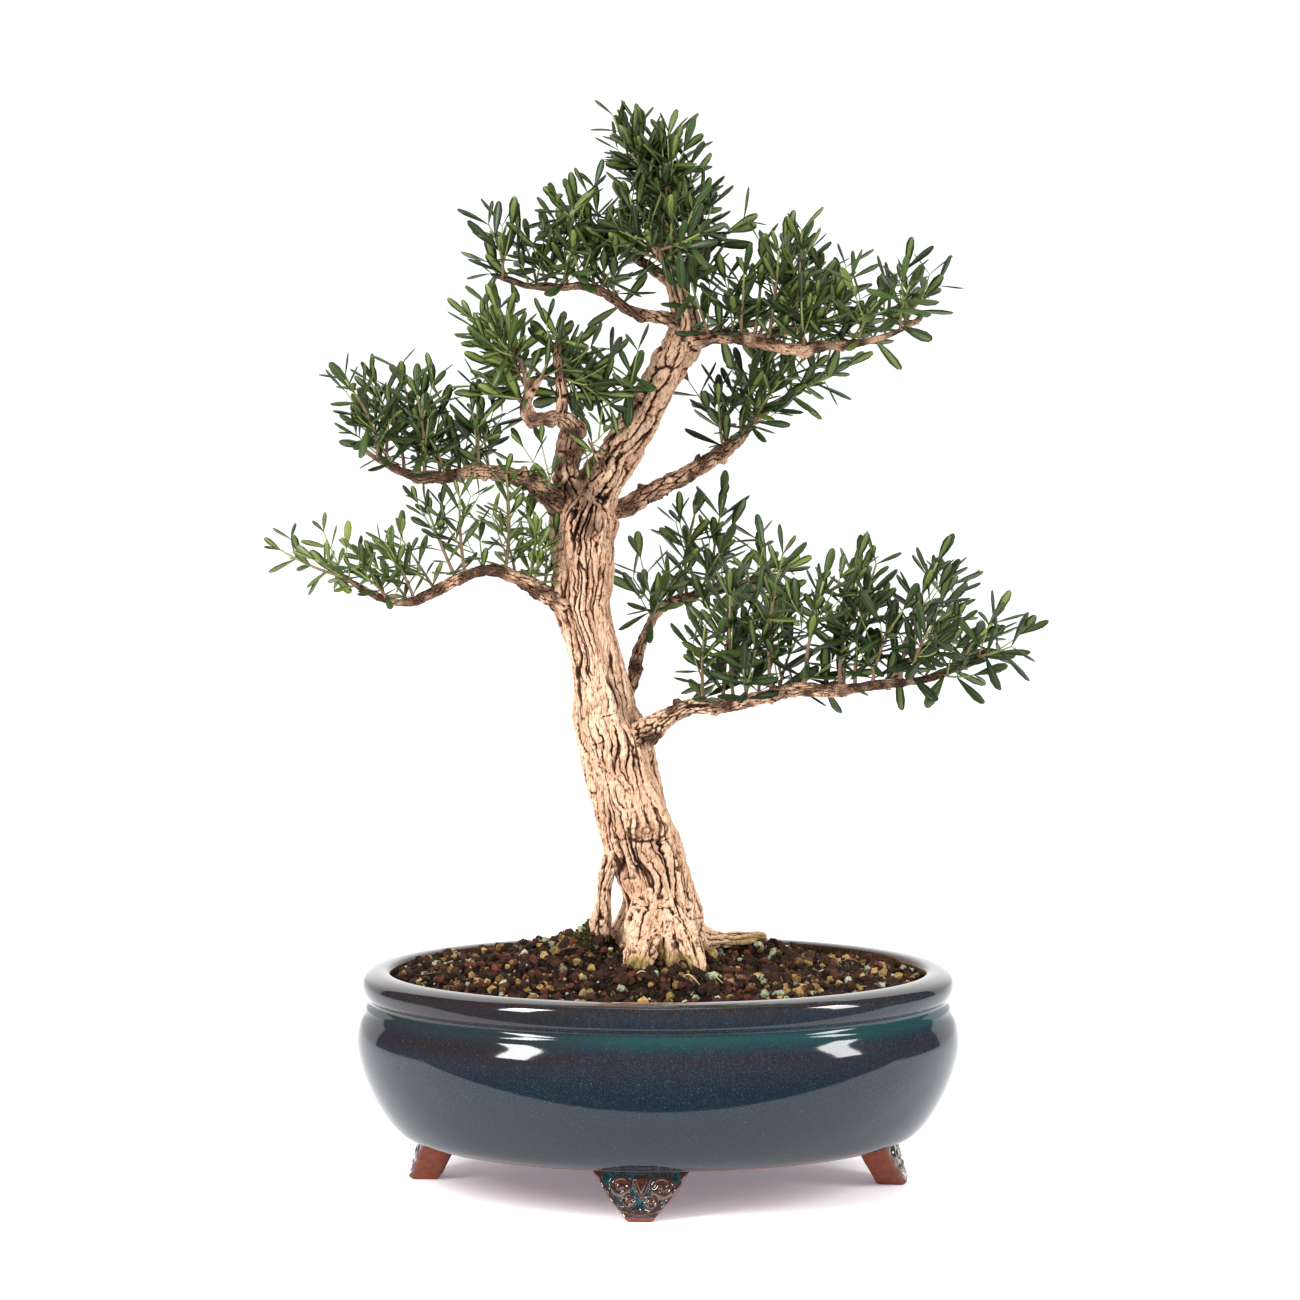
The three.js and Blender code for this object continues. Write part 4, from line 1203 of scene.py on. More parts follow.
sample_gap, _ = plates(*np.meshgrid(np.linspace(0, 6, 61), np.linspace(0, 6, 61)), 6, 1, 0.8)
print("widest place of a plate, in cells:", sample_gap.max().round(2))

# %% [markdown]
# The relief adds up what lies on bark: domed plates, strips, chips, fibres and crumbs. Two masks come
# with it. One tells how deep in a crack a place is, with painted shade added where it lies below its
# surroundings. The other is the tone of its plate, lighter on crests and darker in hollows as painted
# shade. The finish reads both.

# %% The relief of the bark


def hollows(height, reach):
    """How far each place lies below the mean of the square of places around it."""
    mean = height
    for axis in (0, 1):
        mean = sum(np.roll(mean, k, axis) for k in range(-reach, reach + 1)) / (2 * reach + 1)
    return mean - height


def bark_relief(place, sizes, depth, seed):
    """Height of the bark in millimetres, how deep in a crack each place is together with painted shade in its
    hollows, and the tone of its plate, darkened by the same painted shade.

    The height is the depth times the sum of three sizes of plates, each with a height of its own, less the
    cracks across them and plus two kinds of noise. Sizes are the three plates' borders and own numbers.
    """
    (gap, own), (strip_gap, strip_own), (chip_gap, chip_own) = sizes
    opened = smooth_step(-0.65, 0.4, noise(place * (1, 1, 0.5) / 8, seed + 40))
    crack = smooth_step(0.05 + 0.13 * opened, 0.01, gap) * (0.3 + 0.7 * opened)
    strip_crack = smooth_step(0.1, 0.02, strip_gap) * smooth_step(0.45, 1, opened)
    cross = smooth_step(0.13, 0.03, np.abs(noise(place * (0.2, 0.2, 1) / 4.4, seed + 50)))
    cross = cross * smooth_step(0.3, 0.55, noise(place / 5.5, seed + 60))
    fibre = rough_noise(place * (0.9, 0.9, 0.2), 2, seed + 20)
    crumb = 1 - 2 * np.abs(noise(place * (0.62, 0.62, 0.36), seed + 30))
    dome = 1 - (1 - np.clip(gap / 0.75, 0, 1)) ** 2.4
    height = (0.45 + 0.75 * opened) * dome + 0.3 * own
    height = height + 0.16 * smooth_step(0, 0.3, strip_gap) + 0.16 * strip_own
    height = height + 0.06 * smooth_step(0, 0.2, chip_gap) + 0.12 * chip_own - 0.25 * cross
    relief = depth * (height + 0.18 * fibre + 0.14 * crumb - 1.25)
    # Painted shade: how far each place lies below its surroundings, at three sizes.
    shade = 0.7 * hollows(relief, 1) + 0.5 * hollows(relief, 3) + 0.16 * hollows(relief, 6)
    # The crack mark gets the painted shade of the hollows on top of the real cracks.
    crack_and_painted_shade = 0.75 * crack + 0.3 * strip_crack + 0.35 * cross + 0.75 * smooth_step(0.1, 1.2, shade)
    # The same painted shade lowers the tone, so plates are lighter on crests and darker in hollows.
    tone = 0.4 * own + 0.24 * strip_own + 0.3 * chip_own - 0.24 * shade
    return relief, np.clip(crack_and_painted_shade, 0, 1), np.clip(tone, 0, 0.82)


pit = np.zeros((5, 5))
pit[2, 2] = -1
print("a pit 1 deep lies below the mean of its square by", hollows(pit, 1).max().round(2))

# %% [markdown]
# The trunk has two marks of its life: a knot where a branch was cut, with rings like cut wood, and above
# it a pale scar that has nearly closed. Both lie in the mesh, because their rims catch the light.

# %% The knot and the scar
KNOT = {"place": (-6.4, -20, 206.6), "wide": 8.2, "high": 5.4, "proud": 4.6}
SCAR = {"place": (-5, -16, 259), "wide": 9, "high": 8, "proud": 2.2}
BARK_LEVELLED = 0.85


def bump_at(points, bump):
    """A bump's share at each point, 1 at its middle, and the distance from there in sizes of the bump.

    The share falls off with the square of the distance.
    """
    away = (points - bump["place"]) / (bump["wide"], bump["wide"], bump["high"])
    distance = np.linalg.norm(away, axis=-1)
    return np.exp(-(distance**2)), distance


def with_knot(points, out, height, crack):
    """The trunk's points and cracks with the knot, and the dirt on it.

    Circles are the cosine of the distance from its middle, shifted by noise. A rim and a seam lie round them.
    """
    near, distance = bump_at(points, KNOT)
    distance = distance * (1 + 0.22 * noise(points / 6, 3))
    circles = 0.55 * np.cos(distance * 13 + 4 * noise(points / 3))
    rim = 1.2 * np.exp(-(((distance - 1.0) / 0.22) ** 2))
    points = points + out * ((KNOT["proud"] + circles - height * BARK_LEVELLED) * near + rim)[..., None]
    crack = crack * (1 - 0.85 * near) + near * (circles < -0.2) * 0.45
    seam = np.exp(-(((distance - 1.25) / 0.16) ** 2)) * smooth_step(-0.6, 0.4, noise(points / 5, 8))
    return points, np.maximum(crack, 0.7 * seam), 0.5 * smooth_step(1.1, 0.8, distance)


def with_scar(points, out, height, crack, tone):
    """The trunk's points with the scar, where bark is nearly level, and its cracks and its paler tones."""
    near, _ = bump_at(points, SCAR)
    points = points + out * ((SCAR["proud"] - height * BARK_LEVELLED) * near)[..., None]
    return points, crack * (1 - 0.45 * near), tone + (1 - tone) * near


print("the knot is", 2 * KNOT["wide"], "mm wide and the scar", 2 * SCAR["wide"], "mm")

# %% [markdown]
# Painted shade darkens the forks between limbs, the trunk beside the leg and the leader under its
# leaves, and the bark is cracked deeper there. Thin limbs have knobs, and a noise darkens them, partly as
# dirt and partly as painted shade of the leaves. Moss climbs up from the soil. One mark is enough for
# both: dirt and painted shade lie above 0 and moss below.

# %% Painted shade in the forks, knobs and moss
SHADED_PLACES = [
    ((-41, -16, 403), 19), ((-50, -12, 426), 14), ((-38, -18, 381), 11), ((-16, -9, 452), 13),
    ((-23, -9, 143), 12),
]
SHADE_DARKENING = 0.78
SHADED_CRACKS = 1.2
SHADED_DEPTH = 2.2
MOSS_REACH = (17, -2)
OCHRE_END = (46, 58)


def with_shaded_places(points, out, crack, dirt_and_shade):
    """Painted shade and deeper cracks round each shaded place, by a share that falls off with the square of
    the distance.
    """
    for place, reach in SHADED_PLACES:
        near = np.exp(-((np.linalg.norm(points - place, axis=-1) / reach) ** 2))
        # Painted shade at each shaded place, with its cracks painted darker.
        dirt_and_shade = np.maximum(dirt_and_shade, SHADE_DARKENING * near)
        crack = np.clip(crack * (1 + SHADED_CRACKS * near), 0, 1)
        points = points - out * (SHADED_DEPTH * near * crack)[..., None]
    return points, crack, dirt_and_shade


def with_knobs(points, out, radius, seed):
    """A thin limb's points with knobs where the noise is high, and its darkening, which is noise too: partly
    dirt and partly painted shade of the leaves.
    """
    knobs = smooth_step(0.42, 0.8, noise(points / 5.5, seed)) * np.minimum(radius, 5)[:, None] * 0.5
    points = points + out * knobs[..., None]
    return points, 0.6 + 0.85 * noise(points / 6.5, 5)


def moss_or_dirt_and_shade(name, points, crack, dirt_and_shade):
    """The third mark: dirt and painted shade above 0, or moss below 0, whichever is the stronger.

    Moss fades with the height above the bed. The end of the right root counts as moss for its ochre colour.
    """
    above_bed = points[..., 2] - soil_height(points[..., :2])
    moss = smooth_step(*MOSS_REACH, above_bed) * smooth_step(-0.6, 0.5, noise(points / 9, 2) + 0.5 * crack)
    if name == "root_right":
        moss = np.maximum(moss, 0.5 * smooth_step(*OCHRE_END, points[..., 0]))
    return np.where(moss > dirt_and_shade, -moss, dirt_and_shade)


print("shaded places:", len(SHADED_PLACES))

# %% [markdown]
# A limb's ring is a circle, plus ridges that wind round stout limbs like old muscles, plus the relief.

# %% The rings of a limb
STOUT_PLATES = (7.8, 48, 3.4)
THIN_PLATES = (5, 8)
THIN_DEPTH = 0.55
FEWEST_PLATES = 5
RIDGE_COUNT = 6
RIDGE_DEPTH = 0.075
RIDGE_TWIST = 2.2


def limb_radius(radius, run, stout):
    """The radius under the bark: slimmer towards a thin limb's tip, and rounded at each tip by a circle."""
    if not stout:
        radius = radius * (0.9 - 0.38 * smooth_step(0.55, 1, run / run[-1]))
    rounding = np.clip((run[-1] - run) / np.maximum(radius, 1), 0, 1)
    return radius * np.sqrt(1 - (1 - rounding) ** 2) + 0.05


def ridges(angle, share):
    """Height of the ridges: two cosines of the angle, which is turned further along the limb."""
    turned = angle + RIDGE_TWIST * share
    return np.cos(RIDGE_COUNT * turned) + 0.6 * np.cos((RIDGE_COUNT - 3) * turned + 9 * share)


def limb_rings(name, sides, count):
    """The rings of a limb with its bark, and the marks: crack and tone, both with painted shade, and moss or
    dirt and painted shade.
    """
    path = LIMBS[name]
    stout = name in STOUT_LIMBS
    seed = len(name) * 7 + len(path)
    middle, radius, _, first, second, run = along_limb(path, count)
    radius = limb_radius(radius, run, stout)
    widest = float(radius.max())
    width, length, depth = STOUT_PLATES if stout else (*THIN_PLATES, THIN_DEPTH * widest**0.8)
    round_plates = max(FEWEST_PLATES, round(2 * np.pi * widest / width))
    depth = depth * np.clip(radius / widest, 0.15, 1)[:, None]
    radius, run = radius[:, None], run[:, None]
    angle = np.linspace(0, 2 * np.pi, sides, endpoint=False)
    unrolled = np.stack(np.broadcast_arrays(radius * np.cos(angle), radius * np.sin(angle), run), -1)
    sizes = three_plates(unrolled, angle, run, round_plates, length, seed)
    height, crack, tone = bark_relief(unrolled, sizes, depth, seed)
    ridge = RIDGE_DEPTH * ridges(angle, run / run[-1]) if stout else 0
    out = first[:, None] * np.cos(angle)[:, None] + second[:, None] * np.sin(angle)[:, None]
    points = middle[:, None] + out * (radius * (1 + ridge) + height)[..., None]
    dirt_and_shade = np.zeros(crack.shape)
    if name == "trunk":
        points, crack, dirt_and_shade = with_knot(points, out, height, crack)
        points, crack, tone = with_scar(points, out, height, crack, tone)
    elif not stout:
        points, dirt_and_shade = with_knobs(points, out, radius[:, 0], seed)
    points, crack, dirt_and_shade = with_shaded_places(points, out, crack, dirt_and_shade)
    return points, np.stack([crack, tone, moss_or_dirt_and_shade(name, points, crack, dirt_and_shade)], -1)


print("points on three rings of a root:", limb_rings("root_back", 24, 3)[0].shape)

# %% [markdown]
# Boxwood bark is a pale tan with a warm grey on it. Its cracks go from ochre over brown to nearly black
# as they deepen, partly their own colour and partly painted shade, and short dark dashes run lengthwise.
# Higher up, the bark is painted darker, as shade.

# %% The finish of the bark
PLATE_TONES = [
    (0.0, (174, 129, 99)), (0.2, (212, 169, 138)), (0.45, (231, 190, 158)), (0.82, (242, 208, 177)),
    (1.0, (230, 198, 144)),
]
CRACK_AND_SHADE_TONES = [
    (0.1, (186, 142, 112)), (0.34, (136, 96, 70)), (0.6, (76, 50, 36)), (0.95, (22, 13, 10)),
]

bark = Finish("old_bark", Roughness=0.85, Specular_IOR_Level=0.2)
fibres = bark.place.stretched(1, 1, 0.25).noise(900, 4, 0.6)
weather = bark.place.noise(55, 4)
crack_and_shade, toned, dirt_shade_or_moss = (bark.marks.part(axis) for axis in range(3))
plate_colour = toned.ramp(PLATE_TONES)
plate_colour = (fibres.step(0.45, 0.7) * 0.75).blend(plate_colour, (160, 116, 90))
plate_colour = (weather.step(0.5, 0.7) * 0.45).blend(plate_colour, (158, 118, 94))
# Painted shade: the bark darkens higher up.
painted_shade_high_up = bark.place.part(2).step(0.2, 0.46) * 0.42
plate_colour = painted_shade_high_up.blend(plate_colour, (112, 80, 60))
# Dirt and painted shade darken the plates.
plate_colour = (dirt_shade_or_moss * (0.5 + weather)).step(0.2, 1.0).blend(plate_colour, (56, 40, 32))
dashes = bark.place.stretched(1, 1, 0.22).noise(1100, 2).step(0.585, 0.66)
plate_colour = (dashes * 0.8).blend(plate_colour, (104, 70, 50))
# The crack mark holds real cracks and painted shade, and its colour darkens to nearly black.
crack_and_shade_depth = crack_and_shade * (0.7 + 0.6 * fibres)
crack_and_shade_colour = crack_and_shade_depth.ramp(CRACK_AND_SHADE_TONES)
bark_colour = crack_and_shade_depth.step(0.06, 0.4).blend(plate_colour, crack_and_shade_colour)
mossy = (0 - dirt_shade_or_moss) * (0.4 + 1.2 * bark.place.noise(160, 3))
bark_colour = (mossy.step(0.15, 0.7) * 0.75).blend(bark_colour, (150, 124, 60))
bark_colour = (mossy.step(0.6, 1.1) * 0.85).blend(bark_colour, (74, 76, 32))
bark.feed("Base Color", bark_colour)
bark.bump(fibres + 0.5 * bark.place.noise(1500, 2) - 0.5 * dashes, 0.0014, 0.9)
print("nodes of the bark:", len(bark.tree.nodes))

# %% [markdown]
# The trunk is seen closest, so it has the finest rings. The other limbs take coarser ones, which keeps
# each piece small enough to be exported whole.

# %% Build the wood
TRUNK_RINGS = (222, 420)
SIDE_WIDTH = 0.95
SIDES_ALLOWED = (18, 90)
STOUT_STEP = 1.1
THIN_STEP = 1.7
STOUT_RADIUS = 8
WOOD = {
    "trunk_bark": ["trunk"],
    "leader_and_roots": [n for n in STOUT_LIMBS if n != "trunk"],
    "branches": [n for n in LIMBS if n not in STOUT_LIMBS],
}


def ring_counts(name):
    """How many sides a limb has, each about a millimetre wide, and how many rings along it."""
    if name == "trunk":
        return TRUNK_RINGS
    widest = max(row[3] for row in LIMBS[name])
    sides = int(np.clip(2 * np.pi * widest / SIDE_WIDTH, *SIDES_ALLOWED))
    return sides, int(limb_length(LIMBS[name]) / (STOUT_STEP if widest > STOUT_RADIUS else THIN_STEP))


for piece_name, names in WOOD.items():
    wood = Heap()
    for name in names:
        wood.add_rings(*limb_rings(name, *ring_counts(name)))
    wood.piece(piece_name, bark, "bark", ["trunk_and_branches"])

# %% [markdown]
# ## The leaves
# Boxwood leaves stand in pairs, each pair a quarter of a turn from the last, on short green stems. A
# particle system could strew them, but they would point anywhere. Here they grow on stems, and the stems
# in pads of foliage, which rise from a limb as a gardener clips them.
#
# A pad begins and ends at shares of its limb's length. Its count sets how many shoots it has. At several
# places between, "low" and "rise" say how far above the limb the lowest and the highest shoots end.
# "side" is how far they fan out, and "lean" how far they lean along the limb at both ends. Some pads
# point "toward" a direction of their own, crowd their shoots to the start, or have smaller leaves or a
# paler tone.

# %% The pads
PADS = {
    "upper_right": {
        "from": 0.08, "to": 0.96, "count": 7, "side": 30, "lean": [0, 12],
        "low": [0, 0, 2, -14, -6, 20], "rise": [64, 78, 76, 50, 42, 44],
    },
    "upper_right_back": {
        "from": 0.5, "to": 1, "count": 2, "side": 16, "lean": [0, 10],
        "low": [6, 6], "rise": [46, 30],
    },
    "right_middle": {
        "from": 0.56, "to": 1, "count": 4, "side": 30, "lean": [-10, 24],
        "low": [10, -6, -8, -4], "rise": [54, 44, 30, 20],
    },
    "right_back": {
        "from": 0.4, "to": 1, "count": 5, "side": 26, "lean": [-8, 26],
        "low": [4, -20, -34, -34], "rise": [50, 58, 54, 44],
    },
    "right_lower": {
        "from": 0.25, "to": 0.98, "count": 8.6, "side": 36, "lean": [2, 20], "tone": -0.06,
        "low": [24, 14, -2, -2, -8, -14], "rise": [76, 90, 92, 78, 66, 32],
    },
    "right_lower_fork": {
        "from": 0.9, "to": 1, "count": 1, "side": 4, "lean": [16, 16],
        "low": [10], "rise": [38],
    },
    "left_lower": {
        "from": 0.12, "to": 0.95, "count": 5.6, "side": 20, "lean": [-6, 34], "leaf": 0.76,
        "crowd": 1.3, "tone": 0.2,
        "low": [24, 8, 6, 8], "rise": [64, 64, 42, 20],
    },
    "left_upper": {
        "from": 0.4, "to": 0.93, "count": 4.6, "side": 30, "lean": [0, 14], "leaf": 0.9, "tone": -0.05,
        "low": [34, 4, -16, 12], "rise": [44, 74, 56, 62],
    },
    "left_leader": {
        "from": 0.66, "to": 1, "count": 3, "side": 22, "lean": [16, 26], "toward": [-1, 0.2],
        "tone": 0.2,
        "low": [-8, -2], "rise": [40, 28],
    },
    "left_leader_fork": {
        "from": 0.6, "to": 1, "count": 1, "side": 8, "lean": [6, 8], "toward": [1, -0.4],
        "low": [2], "rise": [20],
    },
    "left_leader_stub": {
        "from": 0.1, "to": 0.95, "count": 3, "side": 22, "lean": [24, 20], "toward": [0.6, 1],
        "low": [-14, -34], "rise": [16, 10],
    },
    "leader_spur": {
        "from": 0.3, "to": 1, "count": 1, "side": 14, "lean": [6, 18],
        "low": [-16, -30], "rise": [4, 2],
    },
    "upper_left": {
        "from": 0.3, "to": 1, "count": 5, "side": 20, "lean": [0, 12],
        "low": [-8, -8, -2], "rise": [32, 42, 32],
    },
    "crown_left": {
        "from": 0.3, "to": 1, "count": 3, "side": 20, "lean": [0, 16],
        "low": [4, -6, -18], "rise": [62, 34, 4],
    },
    "crown_right": {
        "from": 0.4, "to": 1, "count": 2, "side": 16, "lean": [0, 0],
        "low": [0, -8], "rise": [28, 6],
    },
    "crown_front": {
        "from": 0.25, "to": 1, "count": 3, "side": 38, "lean": [4, 12],
        "low": [-22, -16, -8], "rise": [34, 26, 22],
    },
    "crown_back": {
        "from": 0.5, "to": 1, "count": 2, "side": 26, "lean": [0, 6],
        "low": [6, 6], "rise": [48, 40],
    },
    "fork_sprig": {
        "from": 0.4, "to": 1, "count": 1, "side": 8, "lean": [-4, 6], "leaf": 0.76,
        "low": [-14, -8], "rise": [2, 6],
    },
    "leader_sprig": {
        "from": 0.4, "to": 1, "count": 0.8, "side": 8, "lean": [-4, 6], "leaf": 0.7,
        "low": [-4, 0], "rise": [6, 8],
    },
    "leader": {
        "from": 0.78, "to": 1, "count": 4, "side": 12, "lean": [12, -22], "toward": [1, 0.2],
        "low": [14, 20], "rise": [62, 60],
    },
}

print("pads:", len(PADS))

# %% [markdown]
# A stem is a curve with three points: it leaves the foot towards the knee and reaches the tip. Each stem
# and each leaf is first one row of numbers, so that all of them become meshes at once.

# %% Growth of one stem
PAIR_STEP = 7.4
LEAF_LENGTH = (17, 25.5)
LEAF_ANGLES = (62, 30)
TIP_LEAF = 0.84


def unit(vectors):
    """Vectors of length 1."""
    return vectors / np.maximum(np.linalg.norm(vectors, axis=-1, keepdims=True), 1e-9)


def bend(foot, knee, tip, share):
    """Points and directions on the curve that leaves foot towards knee and reaches tip.

    With t along it and r = 1 - t left, a point is r squared times foot, plus twice t times r times knee, plus
    t squared times tip.
    """
    t = np.asarray(share)[..., None]
    points = (1 - t) ** 2 * foot + 2 * t * (1 - t) * knee + t * t * tip
    return points, unit((1 - t) * (knee - foot) + t * (tip - knee))


class Growth:
    """Stems and leaves as rows of numbers, which are built all at once."""

    def __init__(self, seed, leaf_size):
        self.random, self.stems, self.leaves = np.random.default_rng(seed), [], []
        self.leaf_size = leaf_size

    def stem(self, foot, knee, tip, thick, bare, tone):
        """A stem and its leaves: pairs at even steps beyond its bare share.

        The last pairs are smaller and more upright. A leaf's row is its root, its direction, its upper side's
        direction, its length and its tone.
        """
        random = self.random
        self.stems.append(np.concatenate([foot, knee, tip, [thick, tone]]))
        leafy = float(np.linalg.norm(tip - foot)) * (1 - bare)
        pairs = max(2, round(leafy / (PAIR_STEP * self.leaf_size**0.5)))
        share = np.linspace(bare, 1, pairs)
        points, ways = bend(foot, knee, tip, share)
        side = unit(np.cross(ways, random.normal(size=3)))
        turned = np.where((np.arange(pairs) % 2 == 0)[:, None], side, np.cross(ways, side))
        for sign in (-1, 1):
            angle = np.interp(share, [bare, 1], LEAF_ANGLES) + random.normal(0, 9, pairs)
            angle = np.radians(angle)[:, None]
            out = sign * turned
            along = ways * np.cos(angle) + out * np.sin(angle)
            up = ways * np.sin(angle) - out * np.cos(angle) + (0, 0, 0.3) + random.normal(0, 0.22, (pairs, 3))
            size = self.leaf_size * random.uniform(*LEAF_LENGTH, pairs)
            size = size * np.interp(share, [0, 0.75, 1], [1, 1, TIP_LEAF])
            shade = np.clip(tone + random.normal(0, 0.12, pairs), 0, 1)
            self.leaves.append(np.column_stack([points, along, up, size, shade]))


trial = Growth(1, 1)
trial.stem(np.zeros(3), np.array([0, 0, 20]), np.array([10, 0, 50]), 1, 0.2, 0.5)
print("leaves on a stem of 50 mm:", len(np.vstack(trial.leaves)))

# %% [markdown]
# A leaf could be a flat card with a picture of a leaf. At this size its thickness and its two halves,
# which rise from the midrib, catch the light, so each leaf is a small closed skin of its own.

# %% Leaves as a mesh
LEAF_SHARE_WIDE = 0.275
LEAF_ROWS = np.array([(0, 0.11), (0.18, 0.4), (0.46, 0.84), (0.74, 1.0), (0.94, 0.64), (1, 0.2)])
LEAF_CROSS = np.array([(1, -0.3), (0.5, 0.06), (0, -0.06), (-0.5, 0.06), (-1, -0.3), (0, -0.2)])
LEAF_UNDERSIDE = (LEAF_CROSS[:, 0] == 0) & (LEAF_CROSS[:, 1] < -0.1)
LEAF_THICKNESS = 0.22
LEAF_ARCH = (0.02, 0.16)


def alike(rings, ends):
    """Points, quads and triangles of many skins alike, from the rings and the two end points of each."""
    count = len(rings)
    _, quads, triangles = skin(rings[0])
    points = np.concatenate([rings.reshape(count, -1, 3), ends], 1)
    shift = points.shape[1] * np.arange(count)[:, None, None]
    return points, (quads + shift).reshape(-1, 4), (triangles + shift).reshape(-1, 3)


def leaf_mesh(rows):
    """Points, quads, triangles and marks of all leaves.

    A leaf is six rows of six points. A row's points go from edge to edge over the two halves of the blade,
    which dip at the midrib, and back under it. The blade widens to past its middle and ends round. It arches
    backwards by the square of the share of its length. The marks are the share across, 1 below, and the tone.
    """
    root, along, up = rows[:, :3], unit(rows[:, 3:6]), rows[:, 6:9]
    up = unit(up - along * np.sum(up * along, -1, keepdims=True))
    across = np.cross(along, up)
    size, tone = rows[:, 9], rows[:, 10]
    t, width = LEAF_ROWS.T
    half = LEAF_SHARE_WIDE / 2 * size[:, None] * width
    arch = (LEAF_ARCH[0] + LEAF_ARCH[1] * ((tone * 7.3) % 1))[:, None]
    middle = root[:, None] + along[:, None] * (t * size[:, None])[..., None]
    middle = middle - up[:, None] * (arch * t * t * size[:, None])[..., None]
    x, h = LEAF_CROSS.T
    points = middle[:, :, None] - across[:, None, None] * (half[..., None] * x)[..., None]
    points = points + up[:, None, None] * (half[..., None] * h - LEAF_THICKNESS * LEAF_UNDERSIDE)[..., None]
    ends = np.stack([points[:, 0].mean(1), points[:, -1].mean(1)], 1)
    full, quads, triangles = alike(points[:, :, ::-1], ends)
    marks = np.stack([np.abs(x[::-1]), LEAF_UNDERSIDE[::-1], np.zeros(len(x))], -1)
    marks = np.vstack([np.tile(marks, (len(t), 1)), [(0.5, 0, 0)] * 2])
    marks = np.broadcast_to(marks, full.shape).copy()
    marks[..., 2] = tone[:, None]
    return full.reshape(-1, 3), quads, triangles, marks.reshape(-1, 3)


print("points of the trial stem's leaves:", len(leaf_mesh(np.vstack(trial.leaves))[0]))

# %% [markdown]
# A stem is a millimetre thick, so five sides are round enough. It tapers towards its tip, as shoots do.

# %% Stems as a mesh
STEM_SIDES = 5
STEM_RINGS = 7


def stem_mesh(rows):
    """Points, quads, triangles and marks of all stems: five-sided tubes that taper to half their thickness.

    A ring's points are the cosine and the sine of their angle times two directions across the stem.
    The marks are the share along the stem, its tone and its thickness.
    """
    foot, knee, tip = (rows[:, None, 3 * k:3 * k + 3] for k in range(3))
    share = np.linspace(0, 1, STEM_RINGS)
    middle, way = bend(foot, knee, tip, np.broadcast_to(share, (len(rows), STEM_RINGS)))
    first = unit(np.cross(way, (0.3, 0.9, 0.2)))
    second = np.cross(way, first)
    angle = np.arange(STEM_SIDES) * 2 * np.pi / STEM_SIDES
    reach = (rows[:, 9:10] * (1 - 0.5 * share))[..., None, None]
    ring = first[:, :, None] * np.cos(angle)[:, None] + second[:, :, None] * np.sin(angle)[:, None]
    ends = np.stack([middle[:, 0], middle[:, -1]], 1)
    full, quads, triangles = alike(middle[:, :, None] + reach * ring, ends)
    marks = np.zeros(full.shape)
    marks[..., 0] = np.append(np.repeat(share, STEM_SIDES), [0, 1])
    marks[..., 1] = rows[:, 10:11]
    marks[..., 2] = rows[:, 9:10]
    return full.reshape(-1, 3), quads, triangles, marks.reshape(-1, 3)


print("points of the trial stem:", len(stem_mesh(np.array(trial.stems))[0]))

# %% [markdown]
# A pad is filled shoot by shoot. Each shoot has a main stem from the limb to its place in the pad and up
# to four side stems. Their fan turns by the golden share from one to the next, which never lines them up.

# %% Fill a pad
CLUSTERS_PER_SHOOT = 2.5
PAD_STEPS = 200
GOLDEN_SHARE = 0.618
FAN_START = 0.2
FAN_DROOP = 0.2
RISE_POWER = 0.62
STRAY = 4
KNEE_SHARE = 0.45
BARE_LENGTH = 62
SIDE_LENGTH = (13, 26)
SIDE_SPACING = 15


def shoot_tip(pad, number, share, base, direction, random):
    """Where a shoot ends: the fan across the limb, the lean along it, the rise above it and a stray.

    The rise is between the pad's lowest and highest, at a power of a random share, and droops with the fan.
    """
    flat = unit(np.array([*pad.get("toward", direction[:2]), 0.0]))
    fan = ((number * GOLDEN_SHARE + FAN_START) % 1) * 2 - 1
    low, rise = (np.interp(share, np.linspace(0, 1, len(pad[key])), pad[key]) for key in ("low", "rise"))
    rise = low + (rise * (1 - FAN_DROOP * abs(fan)) - low) * random.random() ** RISE_POWER
    lean = pad["lean"][0] + (pad["lean"][1] - pad["lean"][0]) * share
    stray = random.normal(0, STRAY, 3)
    return base + np.array([-flat[1], flat[0], 0]) * fan * pad["side"] + flat * lean + (0, 0, rise) + stray


def side_stems(growth, base, knee, tip, tone):
    """Up to four short stems that leave a shoot's main stem at random places, aside and a little upwards."""
    random = growth.random
    for _ in range(int(np.clip(float(np.linalg.norm(tip - base)) / SIDE_SPACING, 1, 4))):
        foot, heading = (v[0] for v in bend(base, knee, tip, [random.uniform(0.06, 0.7)]))
        sideways = unit(np.cross(heading, random.normal(size=3)))
        aim = unit(heading * random.uniform(0.5, 1) + sideways * random.uniform(0.5, 1) + (0, 0, 0.3))
        reach = random.uniform(*SIDE_LENGTH)
        end = foot + aim * reach + (0, 0, 0.18 * reach)
        side_tone = np.clip(tone + random.normal(0, 0.1), 0, 1)
        growth.stem(foot, foot + aim * 0.55 * reach, end, 0.6, 0.3, side_tone)


